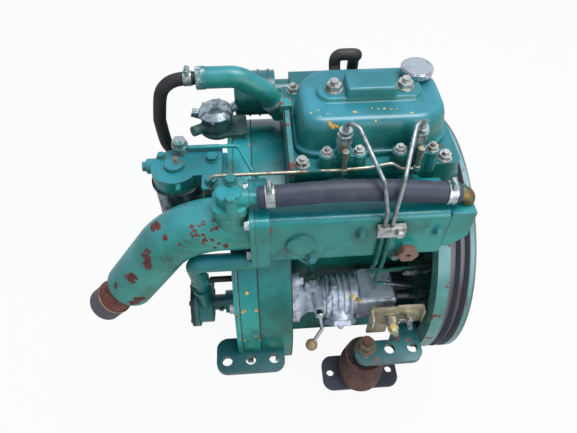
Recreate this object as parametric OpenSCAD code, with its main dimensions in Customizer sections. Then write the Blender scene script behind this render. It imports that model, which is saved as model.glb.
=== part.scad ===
// Two-cylinder marine diesel engine, modelled piece by piece.
// X runs along the crankshaft towards the flywheel, Z is up, and the camera side is -Y.
// The origin is where the crank axis meets the rear face of the gear-mount ring.

/* [Cylinders] */
// Distance between the two cylinder centres
cyl_pitch = 100; // [98:1:102]
// From the rear face to the first cylinder centre
cyl_x = 156; // [154:1:158]
// Cylinder bore
bore = 76; // [70:1:78]
// Piston stroke
stroke = 80; // [76:1:82]
// Height of the block deck above the crank axis
deck_z = 209; // [207:1:211]
// Half width of the block above the sump
block_hw = 88; // [86:1:89]

/* [Rear housings] */
// Radius of the round gear housings
case_r = 217; // [215:1:221]
// Length of the gear-mount ring
ring_len = 37; // [34:1:39]
// Length of the timing case
case_len = 50; // [48:1:52]
// Wall of the round housings
case_wall = 12; // [11:0.5:13]
// Radius of the opening for the reverse gear spigot
spigot_r = 70; // [64:1:74]
// Radius of the reverse gear's bolt circle
gear_circle_r = 84; // [80:1:88]

/* [Flywheel] */
// Radius of the flywheel rim
fly_r = 216; // [212:1:217]
// Width of the flywheel rim
fly_w = 58; // [54:1:62]
// Running gap between the block and the rim
fly_gap = 5; // [4:0.5:8]
// Depth of each belt groove
groove_d = 10; // [7:0.5:12]
// Width of each belt groove
groove_w = 13; // [11:0.5:14]

/* [Gears] */
// Tooth module of the timing gears
gear_m = 3.75; // [3.7:0.05:3.8]
// Width of the timing gears
gear_w = 20; // [16:1:22]
// Sideways place of the injection pump's axis
pump_y = -136; // [-137:0.5:-135]
// Height of the injection pump's axis
pump_z = 5; // [3:0.5:7]

/* [Cylinder head] */
// Half width of the cylinder head
head_hw = 92; // [91:0.5:93]
// Height of the cylinder head
head_h = 59; // [57:1:61]
// Thickness of the head gasket
gasket_t = 1.5; // [1:0.1:2]
// Sideways place of the injectors
inj_y = -84; // [-85:0.5:-83]

/* [Rocker cover] */
// Half width of the cover at its flange
cover_hw = 72; // [70:0.5:73]
// Height of the cover's flat top above the head
cover_h = 56; // [50:1:62]
// Length of the cover's flange
cover_len = 222; // [218:1:226]
// Diameter of the oil filler cap
cap_d = 47; // [42:1:50]

/* [Manifold and hoses] */
// Length of the manifold body
man_len = 239; // [236:1:241]
// Depth of the manifold across the engine
man_d = 72; // [70:1:74]
// Height of the manifold
man_h = 91; // [88:1:93]
// Outer radius of the exhaust elbow
elbow_r = 37; // [34:0.5:39]
// Radius of the elbow's bend
elbow_bend = 110; // [105:1:115]
// Outer radius of the exhaust outlet pipe
stub_r = 27; // [25:0.5:29]
// Outer radius of the coolant hose
hose_r = 14.5; // [13.5:0.25:15]
// Outer diameter of the injection pipes
pipe_d = 6; // [5:0.25:6.5]

/* [Sump and mounts] */
// Depth of the sump's flat base below the crank axis
base_z = 228; // [226:1:232]
// Height of the bracket pads relative to the crank axis
pad_z = -20; // [-22:1:-18]
// Thickness of the bracket plates
pad_t = 10; // [8:0.5:11]
// Sideways place of the rear bracket holes
rear_hole_y = 231; // [229:1:233]
// Sideways place of the rubber mounts
mount_y = 222; // [220:1:224]
// Place of the rubber mounts along the engine
mount_x = 209; // [207:1:211]
// Height of a rubber mount from its base to the pad
mount_h = 105; // [100:1:110]
// Distance between the two bolts of a mount base
base_pitch = 105; // [100:1:110]

/* [Hidden] */
$fn = 48;

// Shared small sizes
eps = 1;
fit = 0.05;
gap = 0.3;
m6 = 3;
m8 = 4;
m10 = 5;
m12 = 6;
m16 = 8;
// Hex sizes as shares of the thread radius: across corners and head height
hex_share = 1.85;
head_share = 1.3;
washer_share = 2.1;
washer_t = 1.6;

// Stations along the crank and heights
case_end = ring_len + case_len;
cyl_xs = [cyl_x, cyl_x + cyl_pitch];
liner_t = 4;
end_wall = 4;
block_end = cyl_x + cyl_pitch + bore / 2 + liner_t + end_wall;
fly_x = block_end + fly_gap;
head_z = deck_z + gasket_t;
head_top = head_z + head_h;
crank_throw = stroke / 2;

// Colours as the photograph shows them
teal = [0.13, 0.47, 0.42];
deep_teal = [0.10, 0.38, 0.34];
steel = [0.62, 0.63, 0.64];
chrome = [0.80, 0.80, 0.80];
aluminium = [0.72, 0.73, 0.74];
black = [0.10, 0.10, 0.11];
rust = [0.40, 0.24, 0.18];
zinc_gold = [0.68, 0.58, 0.36];
brass = [0.70, 0.58, 0.32];

module x_cyl(x0, x1, r, y = 0, z = 0, sides = $fn)
    translate([x0, y, z]) rotate([0, 90, 0]) cylinder(h = x1 - x0, r = r, $fn = sides);
module y_cyl(y0, y1, r, x = 0, z = 0, sides = $fn)
    translate([x, y0, z]) rotate([-90, 0, 0]) cylinder(h = y1 - y0, r = r, $fn = sides);
module z_cyl(z0, z1, r, x = 0, y = 0, sides = $fn)
    translate([x, y, z0]) cylinder(h = z1 - z0, r = r, $fn = sides);

// Turns a profile drawn in (Y, Z) into a bar along X
module bar_x(x0, x1) translate([x0, 0, 0]) rotate([90, 0, 90]) linear_extrude(height = x1 - x0) children();
// Turns a profile drawn in (X, Z) into a bar along Y
module bar_y(y0, y1) translate([0, y1, 0]) rotate([90, 0, 0]) linear_extrude(height = y1 - y0) children();
module slab_z(z0, z1) translate([0, 0, z0]) linear_extrude(height = z1 - z0) children();

// Rectangle from corner to corner with round corners, made of squares and circles
module soft_rect(x0, y0, x1, y1, r) {
    translate([x0 + r, y0]) square([x1 - x0 - 2 * r, y1 - y0]);
    translate([x0, y0 + r]) square([x1 - x0, y1 - y0 - 2 * r]);
    for (x = [x0 + r, x1 - r], y = [y0 + r, y1 - r]) translate([x, y]) circle(r = r);
}

module box(x0, x1, y0, y1, z0, z1) translate([x0, y0, z0]) cube([x1 - x0, y1 - y0, z1 - z0]);

// Hex head or nut with its washer, standing on z = 0 and pointing up
module hex_up(r) {
    cylinder(h = washer_t, r = r * washer_share);
    translate([0, 0, washer_t]) cylinder(h = r * head_share, r = r * hex_share, $fn = 6);
}
// Bolt: head outside the face at z = 0, shank going down
module bolt_down(r, shank) {
    hex_up(r);
    translate([0, 0, -shank]) cylinder(h = shank, r = r - gap);
}
// Nut on a stud whose tip shows above it
module stud_nut(r, below) {
    hex_up(r);
    translate([0, 0, -below]) cylinder(h = below + washer_t + r * (head_share + 1), r = r - gap);
}
module point_to(dir) {
    rotate([0, atan2(norm([dir[0], dir[1]]), dir[2]), atan2(dir[1], dir[0])]) children();
}
module towards_near() rotate([90, 0, 0]) children();
module towards_rear() rotate([0, -90, 0]) children();
module towards_front() rotate([0, 90, 0]) children();

function unit(v) = v / norm(v);
function turn(pts, i) = let (u = unit(pts[i] - pts[i - 1]), v = unit(pts[i + 1] - pts[i])) acos(u * v);
function cut(pts, i, bend) = i <= 0 || i >= len(pts) - 1 ? 0 : bend * tan(turn(pts, i) / 2);
module rod(a, b, r) translate(a) point_to(b - a) cylinder(h = norm(b - a), r = r);

// A bent pipe swept along any route: each corner is rounded in equal steps
bend_steps = 5;
function bend_points(pts, i, bend) = let (u = unit(pts[i] - pts[i - 1]), w = unit(pts[i + 1] - pts[i]),
        a = turn(pts, i), c = cut(pts, i, bend), inward = unit(w - u * (u * w)))
    [for (k = [0:bend_steps]) let (f = a * k / bend_steps)
        pts[i] - u * c + u * bend * sin(f) + inward * bend * (1 - cos(f))];
function route(pts, bend) = concat([pts[0]], [for (i = [1:1:len(pts) - 2]) each bend_points(pts, i, bend)],
    [pts[len(pts) - 1]]);
function along(p, i) = unit(unit(p[min(i + 1, len(p) - 1)] - p[min(i, len(p) - 2)])
    + unit(p[max(i, 1)] - p[max(i - 1, 0)]));
// Sideways vectors carried along the route without twist
function carried(p, i, a) = i >= len(p) ? [] : let (t = along(p, i), b = unit(a - t * (a * t)))
    concat([b], carried(p, i + 1, b));
module swept_tube(p, r, n) {
    t0 = along(p, 0);
    side = carried(p, 0, abs(t0[0]) < 0.8 ? [1, 0, 0] : [0, 1, 0]);
    last = len(p) - 1;
    points = [for (i = [0:last]) let (b = cross(along(p, i), side[i])) each
        [for (k = [0:n - 1]) p[i] + r * (side[i] * cos(k * 360 / n) + b * sin(k * 360 / n))]];
    walls = [for (i = [0:last - 1], k = [0:n - 1])
        [i * n + k, (i + 1) * n + k, (i + 1) * n + (k + 1) % n, i * n + (k + 1) % n]];
    polyhedron(points, concat(walls, [[for (k = [0:n - 1]) k]], [[for (k = [n - 1:-1:0]) last * n + k]]));
}
module bent_tube(pts, r, bend, n) swept_tube(route(pts, bend), r, n);
thin_sides = 8;
wide_sides = 24;

// Bolts of the two round housings
case_bolt_n = 8;
case_bolt_turn = 360 / case_bolt_n / 2;
case_boss_r = 9;
case_bolt_r = case_r - case_wall + case_boss_r / 2;
lip_w = 6;
lip_h = 3;
ring_web = 9;
gear_bolt_n = 6;
gear_hole_r = 4.25;
shaft_r = 8;
pump_boss_r = 24;

module housing_wall(x0, x1) {
    difference() {
        x_cyl(x0, x1, case_r);
        x_cyl(x0 - eps, x1 + eps, case_r - case_wall);
    }
    intersection() {
        for (i = [0:case_bolt_n - 1]) rotate([case_bolt_turn + i * 360 / case_bolt_n, 0, 0])
            x_cyl(x0, x1, case_boss_r, case_bolt_r);
        x_cyl(x0, x1, case_r - fit);
    }
}
module case_bolt_holes(x0, x1) {
    for (i = [0:case_bolt_n - 1]) rotate([case_bolt_turn + i * 360 / case_bolt_n, 0, 0])
        x_cyl(x0, x1, m8 + fit, case_bolt_r);
}

module rear_ring() color(teal) {
    difference() {
        union() {
            housing_wall(0, ring_len);
            x_cyl(0, ring_web, case_r - fit);
            x_cyl(0, lip_w, case_r + lip_h);
            x_cyl(0, ring_len / 2, pump_boss_r, pump_y, pump_z);
            difference() {
                box(0, ring_len - banjo_h, lift_y - lift_r, lift_y + lift_r, case_r - 3 * case_wall, lift_z[0]);
                x_cyl(-eps, ring_len, case_r - case_wall / 2);
            }
        }
        x_cyl(-eps, ring_web + eps, spigot_r);
        x_cyl(-eps, ring_len, shaft_r + fit, pump_y, pump_z);
        for (i = [0:gear_bolt_n - 1]) rotate([i * 360 / gear_bolt_n, 0, 0])
            x_cyl(-eps, ring_web + eps, gear_hole_r, gear_circle_r);
        case_bolt_holes(-eps, ring_len + eps);
    }
}

// Timing gear train
crank_t = 16;
cam_t = 32;
idler_t = 20;
pump_t = 32;
gear_x = 46;
function pitch_r(n) = n * gear_m / 2;
mesh_gap = 0.3;
add_share = 0.8;
ded_share = 1.1;
// Half tooth widths at the tip, pitch line and root, as shares of the tooth pitch
tip_share = 0.13;
line_share = 0.215;
root_share = 0.29;
cam_d = pitch_r(crank_t) + pitch_r(cam_t) + mesh_gap;
cam_turn = 45;
cam_pos = [cam_d * cos(cam_turn), cam_d * sin(cam_turn)];
pump_d = norm([pump_y, pump_z]);
crank_idler = pitch_r(crank_t) + pitch_r(idler_t) + mesh_gap;
idler_pump = pitch_r(idler_t) + pitch_r(pump_t) + mesh_gap;
pump_turn = atan2(pump_z, pump_y);
idler_swing = acos((crank_idler * crank_idler + pump_d * pump_d - idler_pump * idler_pump)
    / (2 * crank_idler * pump_d));
idler_turn = pump_turn - idler_swing;
idler_pos = [crank_idler * cos(idler_turn), crank_idler * sin(idler_turn)];
idler_pin_r = 9;

// Gear outline: six points for each tooth
function tooth(n, i) = let (p = 360 / n, r = pitch_r(n), a = i * p)
    [for (k = [[-ded_share, -root_share], [0, -line_share], [add_share, -tip_share],
               [add_share, tip_share], [0, line_share], [-ded_share, root_share]])
        let (q = r + k[0] * gear_m) [q * cos(a + k[1] * p), q * sin(a + k[1] * p)]];
module gear_outline(n) polygon([for (i = [0:n - 1]) each tooth(n, i)]);
// Turn that puts a gap of gear b where gear a, turned by a0, has a tooth, seen along angle phi
function mesh_turn(phi, a0, na, nb) = let (f = (phi - a0) * na / 360) phi + 180 + (f - floor(f) + 0.5) * 360 / nb;
crank_gear_turn = cam_turn;
cam_gear_turn = mesh_turn(cam_turn, crank_gear_turn, crank_t, cam_t);
idler_gear_turn = mesh_turn(idler_turn, crank_gear_turn, crank_t, idler_t);
idler_to_pump = atan2(pump_z - idler_pos[1], pump_y - idler_pos[0]);
pump_gear_turn = mesh_turn(idler_to_pump, idler_gear_turn, idler_t, pump_t);
module gear_at(n, pos, spin, hole) translate([0, pos[0], pos[1]]) difference() {
    bar_x(gear_x, gear_x + gear_w) rotate(spin) gear_outline(n);
    x_cyl(gear_x - eps, gear_x + gear_w + eps, hole);
    if (n > idler_t) {
        for (i = [0:lighten_n - 1]) rotate([i * 360 / lighten_n, 0, 0])
            x_cyl(gear_x - eps, gear_x + gear_w + eps, lighten_r, pitch_r(n) * lighten_share);
    }
}
lighten_n = 5;
lighten_r = 9;
lighten_share = 0.58;

module timing_case() color(deep_teal) {
    front_x = case_end - case_wall;
    difference() {
        union() {
            housing_wall(ring_len, case_end);
            x_cyl(front_x, case_end, case_r - fit);
            x_cyl(gear_x - washer_t, case_end, idler_pin_r, idler_pos[0], idler_pos[1]);
        }
        x_cyl(front_x - eps, case_end + eps, main_r + wall_play);
        x_cyl(front_x - eps, case_end + eps, cam_journal_r + wall_play, cam_pos[0], cam_pos[1]);
        x_cyl(front_x - eps, case_end + eps, pump_pilot_r, pump_y, pump_z);
        case_bolt_holes(ring_len - eps, case_end - case_wall / 2);
    }
}

// Crankshaft
main_r = 25;
pin_r = 20;
web_r = 58;
web_t = 13;
pin_len = 26;
wall_play = 2;
drive_r = 50;
drive_x = 14;
drive_t = 12;
drive_holes = 6;
hub_t = 24;
crank_end_x = fly_x + fly_w - hub_t;
fly_flange_r = 42;
fly_flange_t = 9;
cam_journal_r = 14;
throws = [1, -1];

module crank_throw_at(x, side) {
    z = side * crank_throw;
    x_cyl(x - pin_len / 2, x + pin_len / 2, pin_r, 0, z);
    for (x0 = [x - pin_len / 2 - web_t, x + pin_len / 2]) intersection() {
        x_cyl(x0, x0 + web_t, web_r);
        bar_x(x0, x0 + web_t) union() {
            translate([-pin_r - web_t / 2, -web_r]) square([2 * pin_r + web_t, 2 * web_r]);
            translate([-web_r, side > 0 ? -web_r : 0]) square([2 * web_r, web_r]);
        }
    }
}
module crankshaft() color(steel) {
    first = cyl_xs[0] - pin_len / 2 - web_t;
    second = cyl_xs[0] + pin_len / 2 + web_t;
    third = cyl_xs[1] - pin_len / 2 - web_t;
    fourth = cyl_xs[1] + pin_len / 2 + web_t;
    difference() {
        union() {
            x_cyl(drive_x, drive_x + drive_t, drive_r);
            x_cyl(drive_x + drive_t, gear_x - washer_t, pin_r);
            x_cyl(gear_x - washer_t, gear_x + gear_w + washer_t, pin_r - fit);
            x_cyl(gear_x + gear_w + washer_t, first, main_r);
            crank_throw_at(cyl_xs[0], throws[0]);
            x_cyl(second, third, main_r);
            crank_throw_at(cyl_xs[1], throws[1]);
            x_cyl(fourth, crank_end_x - fly_flange_t, main_r);
            x_cyl(crank_end_x - fly_flange_t, crank_end_x, fly_flange_r);
        }
        for (i = [0:drive_holes - 1]) rotate([i * 360 / drive_holes, 0, 0])
            x_cyl(drive_x - eps, drive_x + drive_t + eps, m8, drive_r * drive_hole_share);
        x_cyl(drive_x - eps, drive_x + drive_t, pin_r * drive_hole_share);
    }
}
drive_hole_share = 0.72;
module crank_gear() color(steel) gear_at(crank_t, [0, 0], crank_gear_turn, pin_r);
module cam_gear() color(steel) gear_at(cam_t, cam_pos, cam_gear_turn, cam_journal_r);
module idler_gear() color(steel) gear_at(idler_t, idler_pos, idler_gear_turn, idler_pin_r + fit);

// Pump gear with the shaft that drives both pumps
shaft_front = 6;
impeller_x0 = -63;
impeller_x1 = -47;
module pump_gear() color(steel) {
    gear_at(pump_t, [pump_y, pump_z], pump_gear_turn, shaft_r - fit);
    x_cyl(impeller_x0, case_end + shaft_front, shaft_r, pump_y, pump_z);
}

// Camshaft: journals, lobes and two bearing lands
cam_r = 11;
lobe_r = 13;
lobe_lift = 4;
lobe_w = 12;
lobe_gap = 22;
lobe_turns = [110, -10, 290, 170];
cam_end_x = block_end - end_wall * 2;
module cam_lobe(x, a) translate([x, 0, 0]) rotate([a, 0, 0]) hull() {
    x_cyl(0, lobe_w, lobe_r - gap, 0, 0, 28);
    x_cyl(0, lobe_w, lobe_r / 2, lobe_r / 2 + lobe_lift, 0, 20);
}
module camshaft() color(steel) translate([0, cam_pos[0], cam_pos[1]]) {
    x_cyl(gear_x - washer_t, case_end + wall_play, cam_journal_r - fit);
    x_cyl(case_end + wall_play, cam_end_x, cam_r);
    x_cyl(case_end + wall_play, case_end + lobe_gap, cam_bearing_r);
    x_cyl(cam_end_x - lobe_gap, cam_end_x, cam_bearing_r);
    for (i = [0:3]) cam_lobe(cyl_xs[i < 2 ? 0 : 1] + (i % 2 == 0 ? -1 : 1) * lobe_gap - lobe_w / 2, lobe_turns[i]);
}
cam_bearing_r = 19;

// Block with its bores, crank bays and cam tunnel
bay_hw = 74;
bay_len = 68;
sump_z = -118;
rail_h = 10;
rail_w = 8;
liner_h = 128;
skirt_room = 20;
plug_r = 15;
plug_z = 130;
module crankcase() color(deep_teal) {
    difference() {
        union() {
            bar_x(case_end, block_end) polygon([
                [-block_hw, deck_z], [block_hw, deck_z], [block_hw, sump_z], [-block_hw, sump_z]]);
            bar_x(case_end, block_end) translate([-block_hw - rail_w, sump_z])
                square([2 * (block_hw + rail_w), rail_h]);
        }
        for (x = cyl_xs) {
            z_cyl(deck_z - liner_h, deck_z + eps, bore / 2 + liner_t, x);
            box(x - bay_len / 2, x + bay_len / 2, -bay_hw, bay_hw, sump_z - eps, deck_z - liner_h + eps);
            box(x - lobe_gap - lobe_w, x + lobe_gap + lobe_w, 0, cam_pos[0] + cam_bearing_r,
                sump_z - eps, cam_pos[1]);
            z_cyl(deck_z - liner_h - skirt_room, deck_z - liner_h + eps, bore / 2 + wall_play, x);
            y_cyl(-block_hw - eps, -block_hw + end_wall, plug_r, x, plug_z);
        }
        x_cyl(case_end - eps, block_end + eps, main_r + fit);
        x_cyl(case_end - eps, cam_end_x + fit, cam_bearing_r + fit, cam_pos[0], cam_pos[1]);
    }
    for (x = cyl_xs) y_cyl(-block_hw, -block_hw + end_wall - fit, plug_r - fit, x, plug_z);
}
module cylinder_liners() color(steel) for (x = cyl_xs) difference() {
    z_cyl(deck_z - liner_h, deck_z, bore / 2 + liner_t, x);
    z_cyl(deck_z - liner_h - eps, deck_z + eps, bore / 2, x);
}

// Pistons with their gudgeon pins
piston_h = 64;
piston_play = 0.06;
crown_gap = 1;
gudgeon_r = 12;
gudgeon_share = 0.48;
ring_n = 3;
ring_step = 6;
ring_t = 2.5;
ring_depth = 3;
skirt_t = 6;
module piston(x, low) color(aluminium) translate([x, 0, deck_z - crown_gap - piston_h - (low ? stroke : 0)]) {
    difference() {
        cylinder(h = piston_h, r = bore / 2 - piston_play);
        translate([0, 0, -eps]) cylinder(h = piston_h * (1 - gudgeon_share / 2) + eps, r = bore / 2 - skirt_t);
        for (i = [1:ring_n]) translate([0, 0, piston_h - i * ring_step - ring_t]) difference() {
            cylinder(h = ring_t, r = bore);
            translate([0, 0, -eps]) cylinder(h = ring_t + 2 * eps, r = bore / 2 - ring_depth);
        }
        x_cyl(-bore, bore, gudgeon_r + fit, 0, piston_h * gudgeon_share);
    }
    x_cyl(-bore / 2 + ring_depth, bore / 2 - ring_depth, gudgeon_r, 0, piston_h * gudgeon_share);
}
module piston_1() piston(cyl_xs[0], false);
module piston_2() piston(cyl_xs[1], true);

// Oil sump with a flat base
sump_t = 5;
sump_top_hw = 88;
sump_base_hw = 78;
sump_in = 6;
module sump_profile(grow) polygon([
    [-sump_top_hw - grow, sump_z], [sump_top_hw + grow, sump_z],
    [sump_base_hw + grow, -base_z - grow], [-sump_base_hw - grow, -base_z - grow]]);
module sump() color(deep_teal) {
    difference() {
        union() {
            bar_x(case_end + sump_in, block_end - sump_in) sump_profile(0);
            bar_x(case_end, block_end) translate([-block_hw - rail_w, sump_z - rail_h])
                square([2 * (block_hw + rail_w), rail_h]);
        }
        bar_x(case_end + sump_in + sump_t, block_end - sump_in - sump_t) difference() {
            sump_profile(-sump_t);
            translate([-case_r, sump_z - fit]) square([2 * case_r, rail_h]);
        }
        bar_x(case_end + sump_in + sump_t, block_end - sump_in - sump_t)
            translate([-sump_top_hw + sump_t, sump_z - rail_h - eps])
            square([2 * (sump_top_hw - sump_t), rail_h + 2 * eps]);
    }
}

// Flywheel: dished wheel with a hub, a web, a rim and two belt grooves
rim_t = 26;
fly_web_t = 12;
hub_r = 60;
band_share = 0.36;
groove_floor_share = 0.45;
fly_bolts = 6;
fly_bolt_share = 0.72;
module belt_groove(x) rotate([0, 90, 0]) rotate_extrude() translate([0, x]) polygon([
    [fly_r + eps, -eps / 2], [fly_r + eps, groove_w + eps / 2],
    [fly_r - groove_d, groove_w * (1 + groove_floor_share) / 2],
    [fly_r - groove_d, groove_w * (1 - groove_floor_share) / 2]]);
module flywheel() color(teal) {
    out = fly_x + fly_w;
    difference() {
        x_cyl(fly_x, out, fly_r);
        x_cyl(fly_x - eps, out - fly_web_t, fly_r - rim_t);
        belt_groove(fly_x + fly_w * band_share);
        belt_groove(fly_x + fly_w * band_share + groove_w + eps);
    }
    difference() {
        x_cyl(crank_end_x, out - fly_web_t, hub_r);
        for (i = [0:fly_bolts - 1]) rotate([i * 360 / fly_bolts, 0, 0])
            x_cyl(crank_end_x - eps, out, m8, fly_flange_r * fly_bolt_share);
    }
    for (i = [0:fly_bolts - 1]) rotate([i * 360 / fly_bolts, 0, 0])
        translate([out, fly_flange_r * fly_bolt_share, 0]) towards_front() hex_up(m10);
}

// Cylinder head with ports, studs and a boss over the flywheel
head_x0 = case_end + gap;
boss_len = 26;
boss_z = 226;
head_edge = 6;
port_r = 15;
port_z = 237;
port_depth = 34;
stud_xs = [107, 306];
stud_y = 81;
lug_r = 15;
inj_shift = 5;
inj_bore_r = 9;
module head_plan() {
    soft_rect(head_x0, -head_hw, block_end, head_hw, head_edge);
}
module cylinder_head() color(teal) {
    difference() {
        union() {
            slab_z(head_z, head_top) head_plan();
            slab_z(boss_z, head_top) soft_rect(block_end - boss_len, -head_hw, block_end + boss_len,
                head_hw * boss_share, head_edge * 2);
            x_cyl(block_end, block_end + boss_len, lug_r, -head_hw + lug_r, boss_z + lug_r);
            slab_z(head_top - head_edge * 2, head_top + inj_boss_h) for (x = cyl_xs) clamp_plan(x + inj_shift, inj_boss_r);
        }
        for (x = cyl_xs) {
            z_cyl(head_top - port_depth, head_top + inj_boss_h + eps, inj_bore_r + fit, x + inj_shift, inj_y);
            y_cyl(-head_hw - eps, -head_hw + port_depth, port_r, x, port_z);
            y_cyl(head_hw - port_depth, head_hw + eps, port_r, x, port_z);
        }
        z_cyl(head_top - head_edge * 2, head_top + eps, m8, block_end + boss_len / 2, -head_hw + lug_r);
    }
}
boss_share = 0.5;
inj_boss_h = 13;
inj_boss_r = 11;
module head_gasket() color(rust) slab_z(deck_z, head_z) difference() {
    head_plan();
    for (x = cyl_xs) translate([x, 0]) circle(r = bore / 2 + liner_t / 2);
}

// Rocker cover: tapered cast shell, pedestal, ridge and filler neck
cover_x0 = 98;
flange_t = 8;
cover_t = 5;
corner_share = 0.42;
cover_corner = 34;
top_in = 9;
near_in = 14;
cover_gasket_t = 0.3;
pedestal_r = 24;
pedestal_t = 6;
ridge_h = 20;
ridge_hw = 21;
ridge_len = 70;
ridge_in = 4;
neck_r = 17;
neck_h = 8;
cap_y = 34;
cap_x = 280;
cap_t = 11;
module cover_plan(inset) {
    w = cover_hw - inset;
    x0 = cover_x0 + inset;
    x1 = cover_x0 + cover_len - inset;
    c = cover_corner;
    polygon([[x0, -w + c * corner_share], [x0 + c, -w], [x1 - c, -w], [x1, -w + c],
        [x1, w - c], [x1 - c, w], [x0 + c, w], [x0, w - c]]);
}
module cover_shell(inset, z0, z1) hull() {
    slab_z(z0, z0 + eps) cover_plan(inset);
    slab_z(z1 - 2 * near_in, z1 - 2 * near_in + eps) cover_plan(inset + top_in / 2);
    slab_z(z1 - near_in / 2, z1 - near_in / 2 + eps) cover_plan(inset + top_in);
    slab_z(z1 - eps, z1) cover_plan(inset + near_in);
}
module rocker_cover() color(teal) {
    z0 = head_top + cover_gasket_t;
    top = head_top + cover_h;
    mid = cyl_x + cyl_pitch / 2;
    difference() {
        union() {
            slab_z(z0, z0 + flange_t) cover_plan(0);
            cover_shell(flange_t / 2, z0, top);
            slab_z(top - eps, top + pedestal_t) {
                for (x = cyl_xs) translate([x, 0]) circle(r = pedestal_r);
                translate([cyl_x, -pedestal_r]) square([cyl_pitch, 2 * pedestal_r]);
            }
            bar_y(-ridge_hw, ridge_hw) polygon([
                [mid - ridge_len / 2, top], [mid + ridge_len / 2, top],
                [mid + ridge_len / 2, top + ridge_h - ridge_in], [mid + ridge_len / 2 - ridge_in, top + ridge_h],
                [mid - ridge_len / 2 + ridge_in, top + ridge_h], [mid - ridge_len / 2, top + ridge_h - ridge_in]]);
            z_cyl(top - eps, top + neck_h, neck_r, cap_x, cap_y);
            y_cyl(cover_hw - top_in - flange_t, cover_hw + eps, vent_r, vent_x, vent_z);
        }
        cover_shell(flange_t / 2 + cover_t, z0 - 2 * eps, top - cover_t);
        z_cyl(top - near_in, top + neck_h + eps, neck_r - cover_t, cap_x, cap_y);
        for (x = cyl_xs) z_cyl(top - near_in, top + pedestal_t + eps, m12, x);
        y_cyl(cover_hw - near_in - flange_t - cover_t, cover_hw + 2 * eps, vent_r - cover_t / 2, vent_x, vent_z);
    }
}
vent_r = 9;
vent_x = 172;
vent_z = head_top + 28;
module filler_cap() color(chrome) {
    z = head_top + cover_h + neck_h;
    difference() {
        z_cyl(z - neck_h + pedestal_t + gap * 2, z + cap_t / 2, cap_d / 2, cap_x, cap_y);
        z_cyl(z - neck_h, z + gap, neck_r + gap, cap_x, cap_y);
    }
    z_cyl(z + cap_t / 2 - fit, z + cap_t / 2 + cap_rim, cap_d / 2 - cap_rim, cap_x, cap_y);
    z_cyl(z - cap_t, z + eps, neck_r - cover_t - gap, cap_x, cap_y);
}
cap_rim = 2;

// Injectors, clamps and leak-off line
inj_nut_r = 11;
inj_body_r = 8.8;
inj_top = 62;
inj_nut_h = 22;
clamp_half = 22;
clamp_t = 8;
clamp_r = 11;
module injector(x) color(steel) translate([x + inj_shift, inj_y, head_top]) {
    translate([0, 0, -port_depth + eps]) cylinder(h = inj_top + port_depth - inj_nut_h, r = inj_body_r);
    translate([0, 0, inj_top - inj_nut_h]) cylinder(h = inj_nut_h * 0.7, r = inj_nut_r, $fn = 6);
    translate([0, 0, inj_top - inj_nut_h * 0.3]) cylinder(h = inj_nut_h * 0.3, r = inj_nut_r * 0.8);
}
module injector_1() injector(cyl_xs[0]);
module injector_2() injector(cyl_xs[1]);
module clamp_plan(x, r) translate([x, inj_y]) {
    translate([-clamp_half, -clamp_r * 0.7]) square([2 * clamp_half, clamp_r * 1.4]);
    for (s = [-1, 1]) translate([s * clamp_half, 0]) circle(r = clamp_r);
    circle(r = r);
}
module injector_clamps() color(teal) for (x = cyl_xs) translate([x + inj_shift, 0, head_top + inj_boss_h])
    translate([0, inj_y, 0]) difference() {
        union() {
            cylinder(h = clamp_t * 2, r = inj_boss_r);
            translate([0, -inj_y, 0]) slab_z(0, clamp_t) clamp_plan(0, inj_boss_r);
        }
        translate([0, 0, -eps]) cylinder(h = clamp_t * 2 + 2 * eps, r = inj_body_r + fit);
        for (s = [-1, 1]) translate([s * clamp_half, 0, -eps]) cylinder(h = clamp_t + 2 * eps, r = m8);
    }

// Every root hex bolt, as separate solids
module hex_bolts() color(chrome) {
    for (i = [0:case_bolt_n - 1]) rotate([case_bolt_turn + i * 360 / case_bolt_n, 0, 0])
        translate([0, case_bolt_r, 0]) towards_rear() bolt_down(m8, ring_len);
    for (p = [[man_y0, -0.85], [man_y0, 0.92], [man_y1 - end_lip, 0.92]])
        translate([elbow_x0 - end_lip - fit, p[0], elbow_z + elbow_r * p[1]]) towards_rear() hex_up(m8 * 0.9);
}
module hex_nuts() color(steel) {
    for (x = stud_xs, s = [-1, 1]) translate([x, s * stud_y, head_top]) stud_nut(m10, 0);
    for (x = cyl_xs) translate([x, 0, head_top + cover_h + pedestal_t]) stud_nut(m12, cover_h - cover_t);
    for (x = cyl_xs, s = [-1, 1]) translate([x + inj_shift + s * clamp_half, inj_y, head_top + inj_boss_h + clamp_t])
        stud_nut(m8, clamp_t);
}

man_x0 = 57;
man_x1 = man_x0 + man_len;
man_y1 = -max(head_hw, block_hw + 4) - 8;
man_y0 = man_y1 - man_d;
man_z0 = 166;
man_z1 = man_z0 + man_h;
dist_x1 = 281;

// Return line, with a stalk at each injector
leak_r = 2.5;
leak_y = inj_y - inj_boss_r - 2 * leak_r - 2 * gap;
leak_z = head_top + 5;
leak_drop = 30;
leak_bend = 9;
banjo_r = 5;
module leak_off_pipe() color(deep_teal) {
    start = [filter_x1 - filter_bolt, leak_y, filter_top + gap / 3];
    bent_tube([start, [start[0], leak_y, leak_z], [cyl_x + inj_shift - banjo_r, leak_y, leak_z],
        [cyl_x + cyl_pitch * 0.4, leak_y, leak_z + leak_r], [cyl_x + cyl_pitch * 0.7, leak_y, leak_z + leak_bend],
        [cyl_x + cyl_pitch * 0.85, leak_y, leak_z - leak_r], [cyl_xs[1] + inj_shift, leak_y, leak_z - leak_r]],
        leak_r, leak_bend, thin_sides);
    for (x = cyl_xs) rod([x + inj_shift, leak_y, leak_z - 2 * leak_r],
        [x + inj_shift, leak_y, leak_z + leak_drop + banjo_r], banjo_r);
    for (x = cyl_xs) y_cyl(leak_y, inj_y - inj_body_r, banjo_r - eps, x + inj_shift, leak_z + leak_drop);
}

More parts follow.
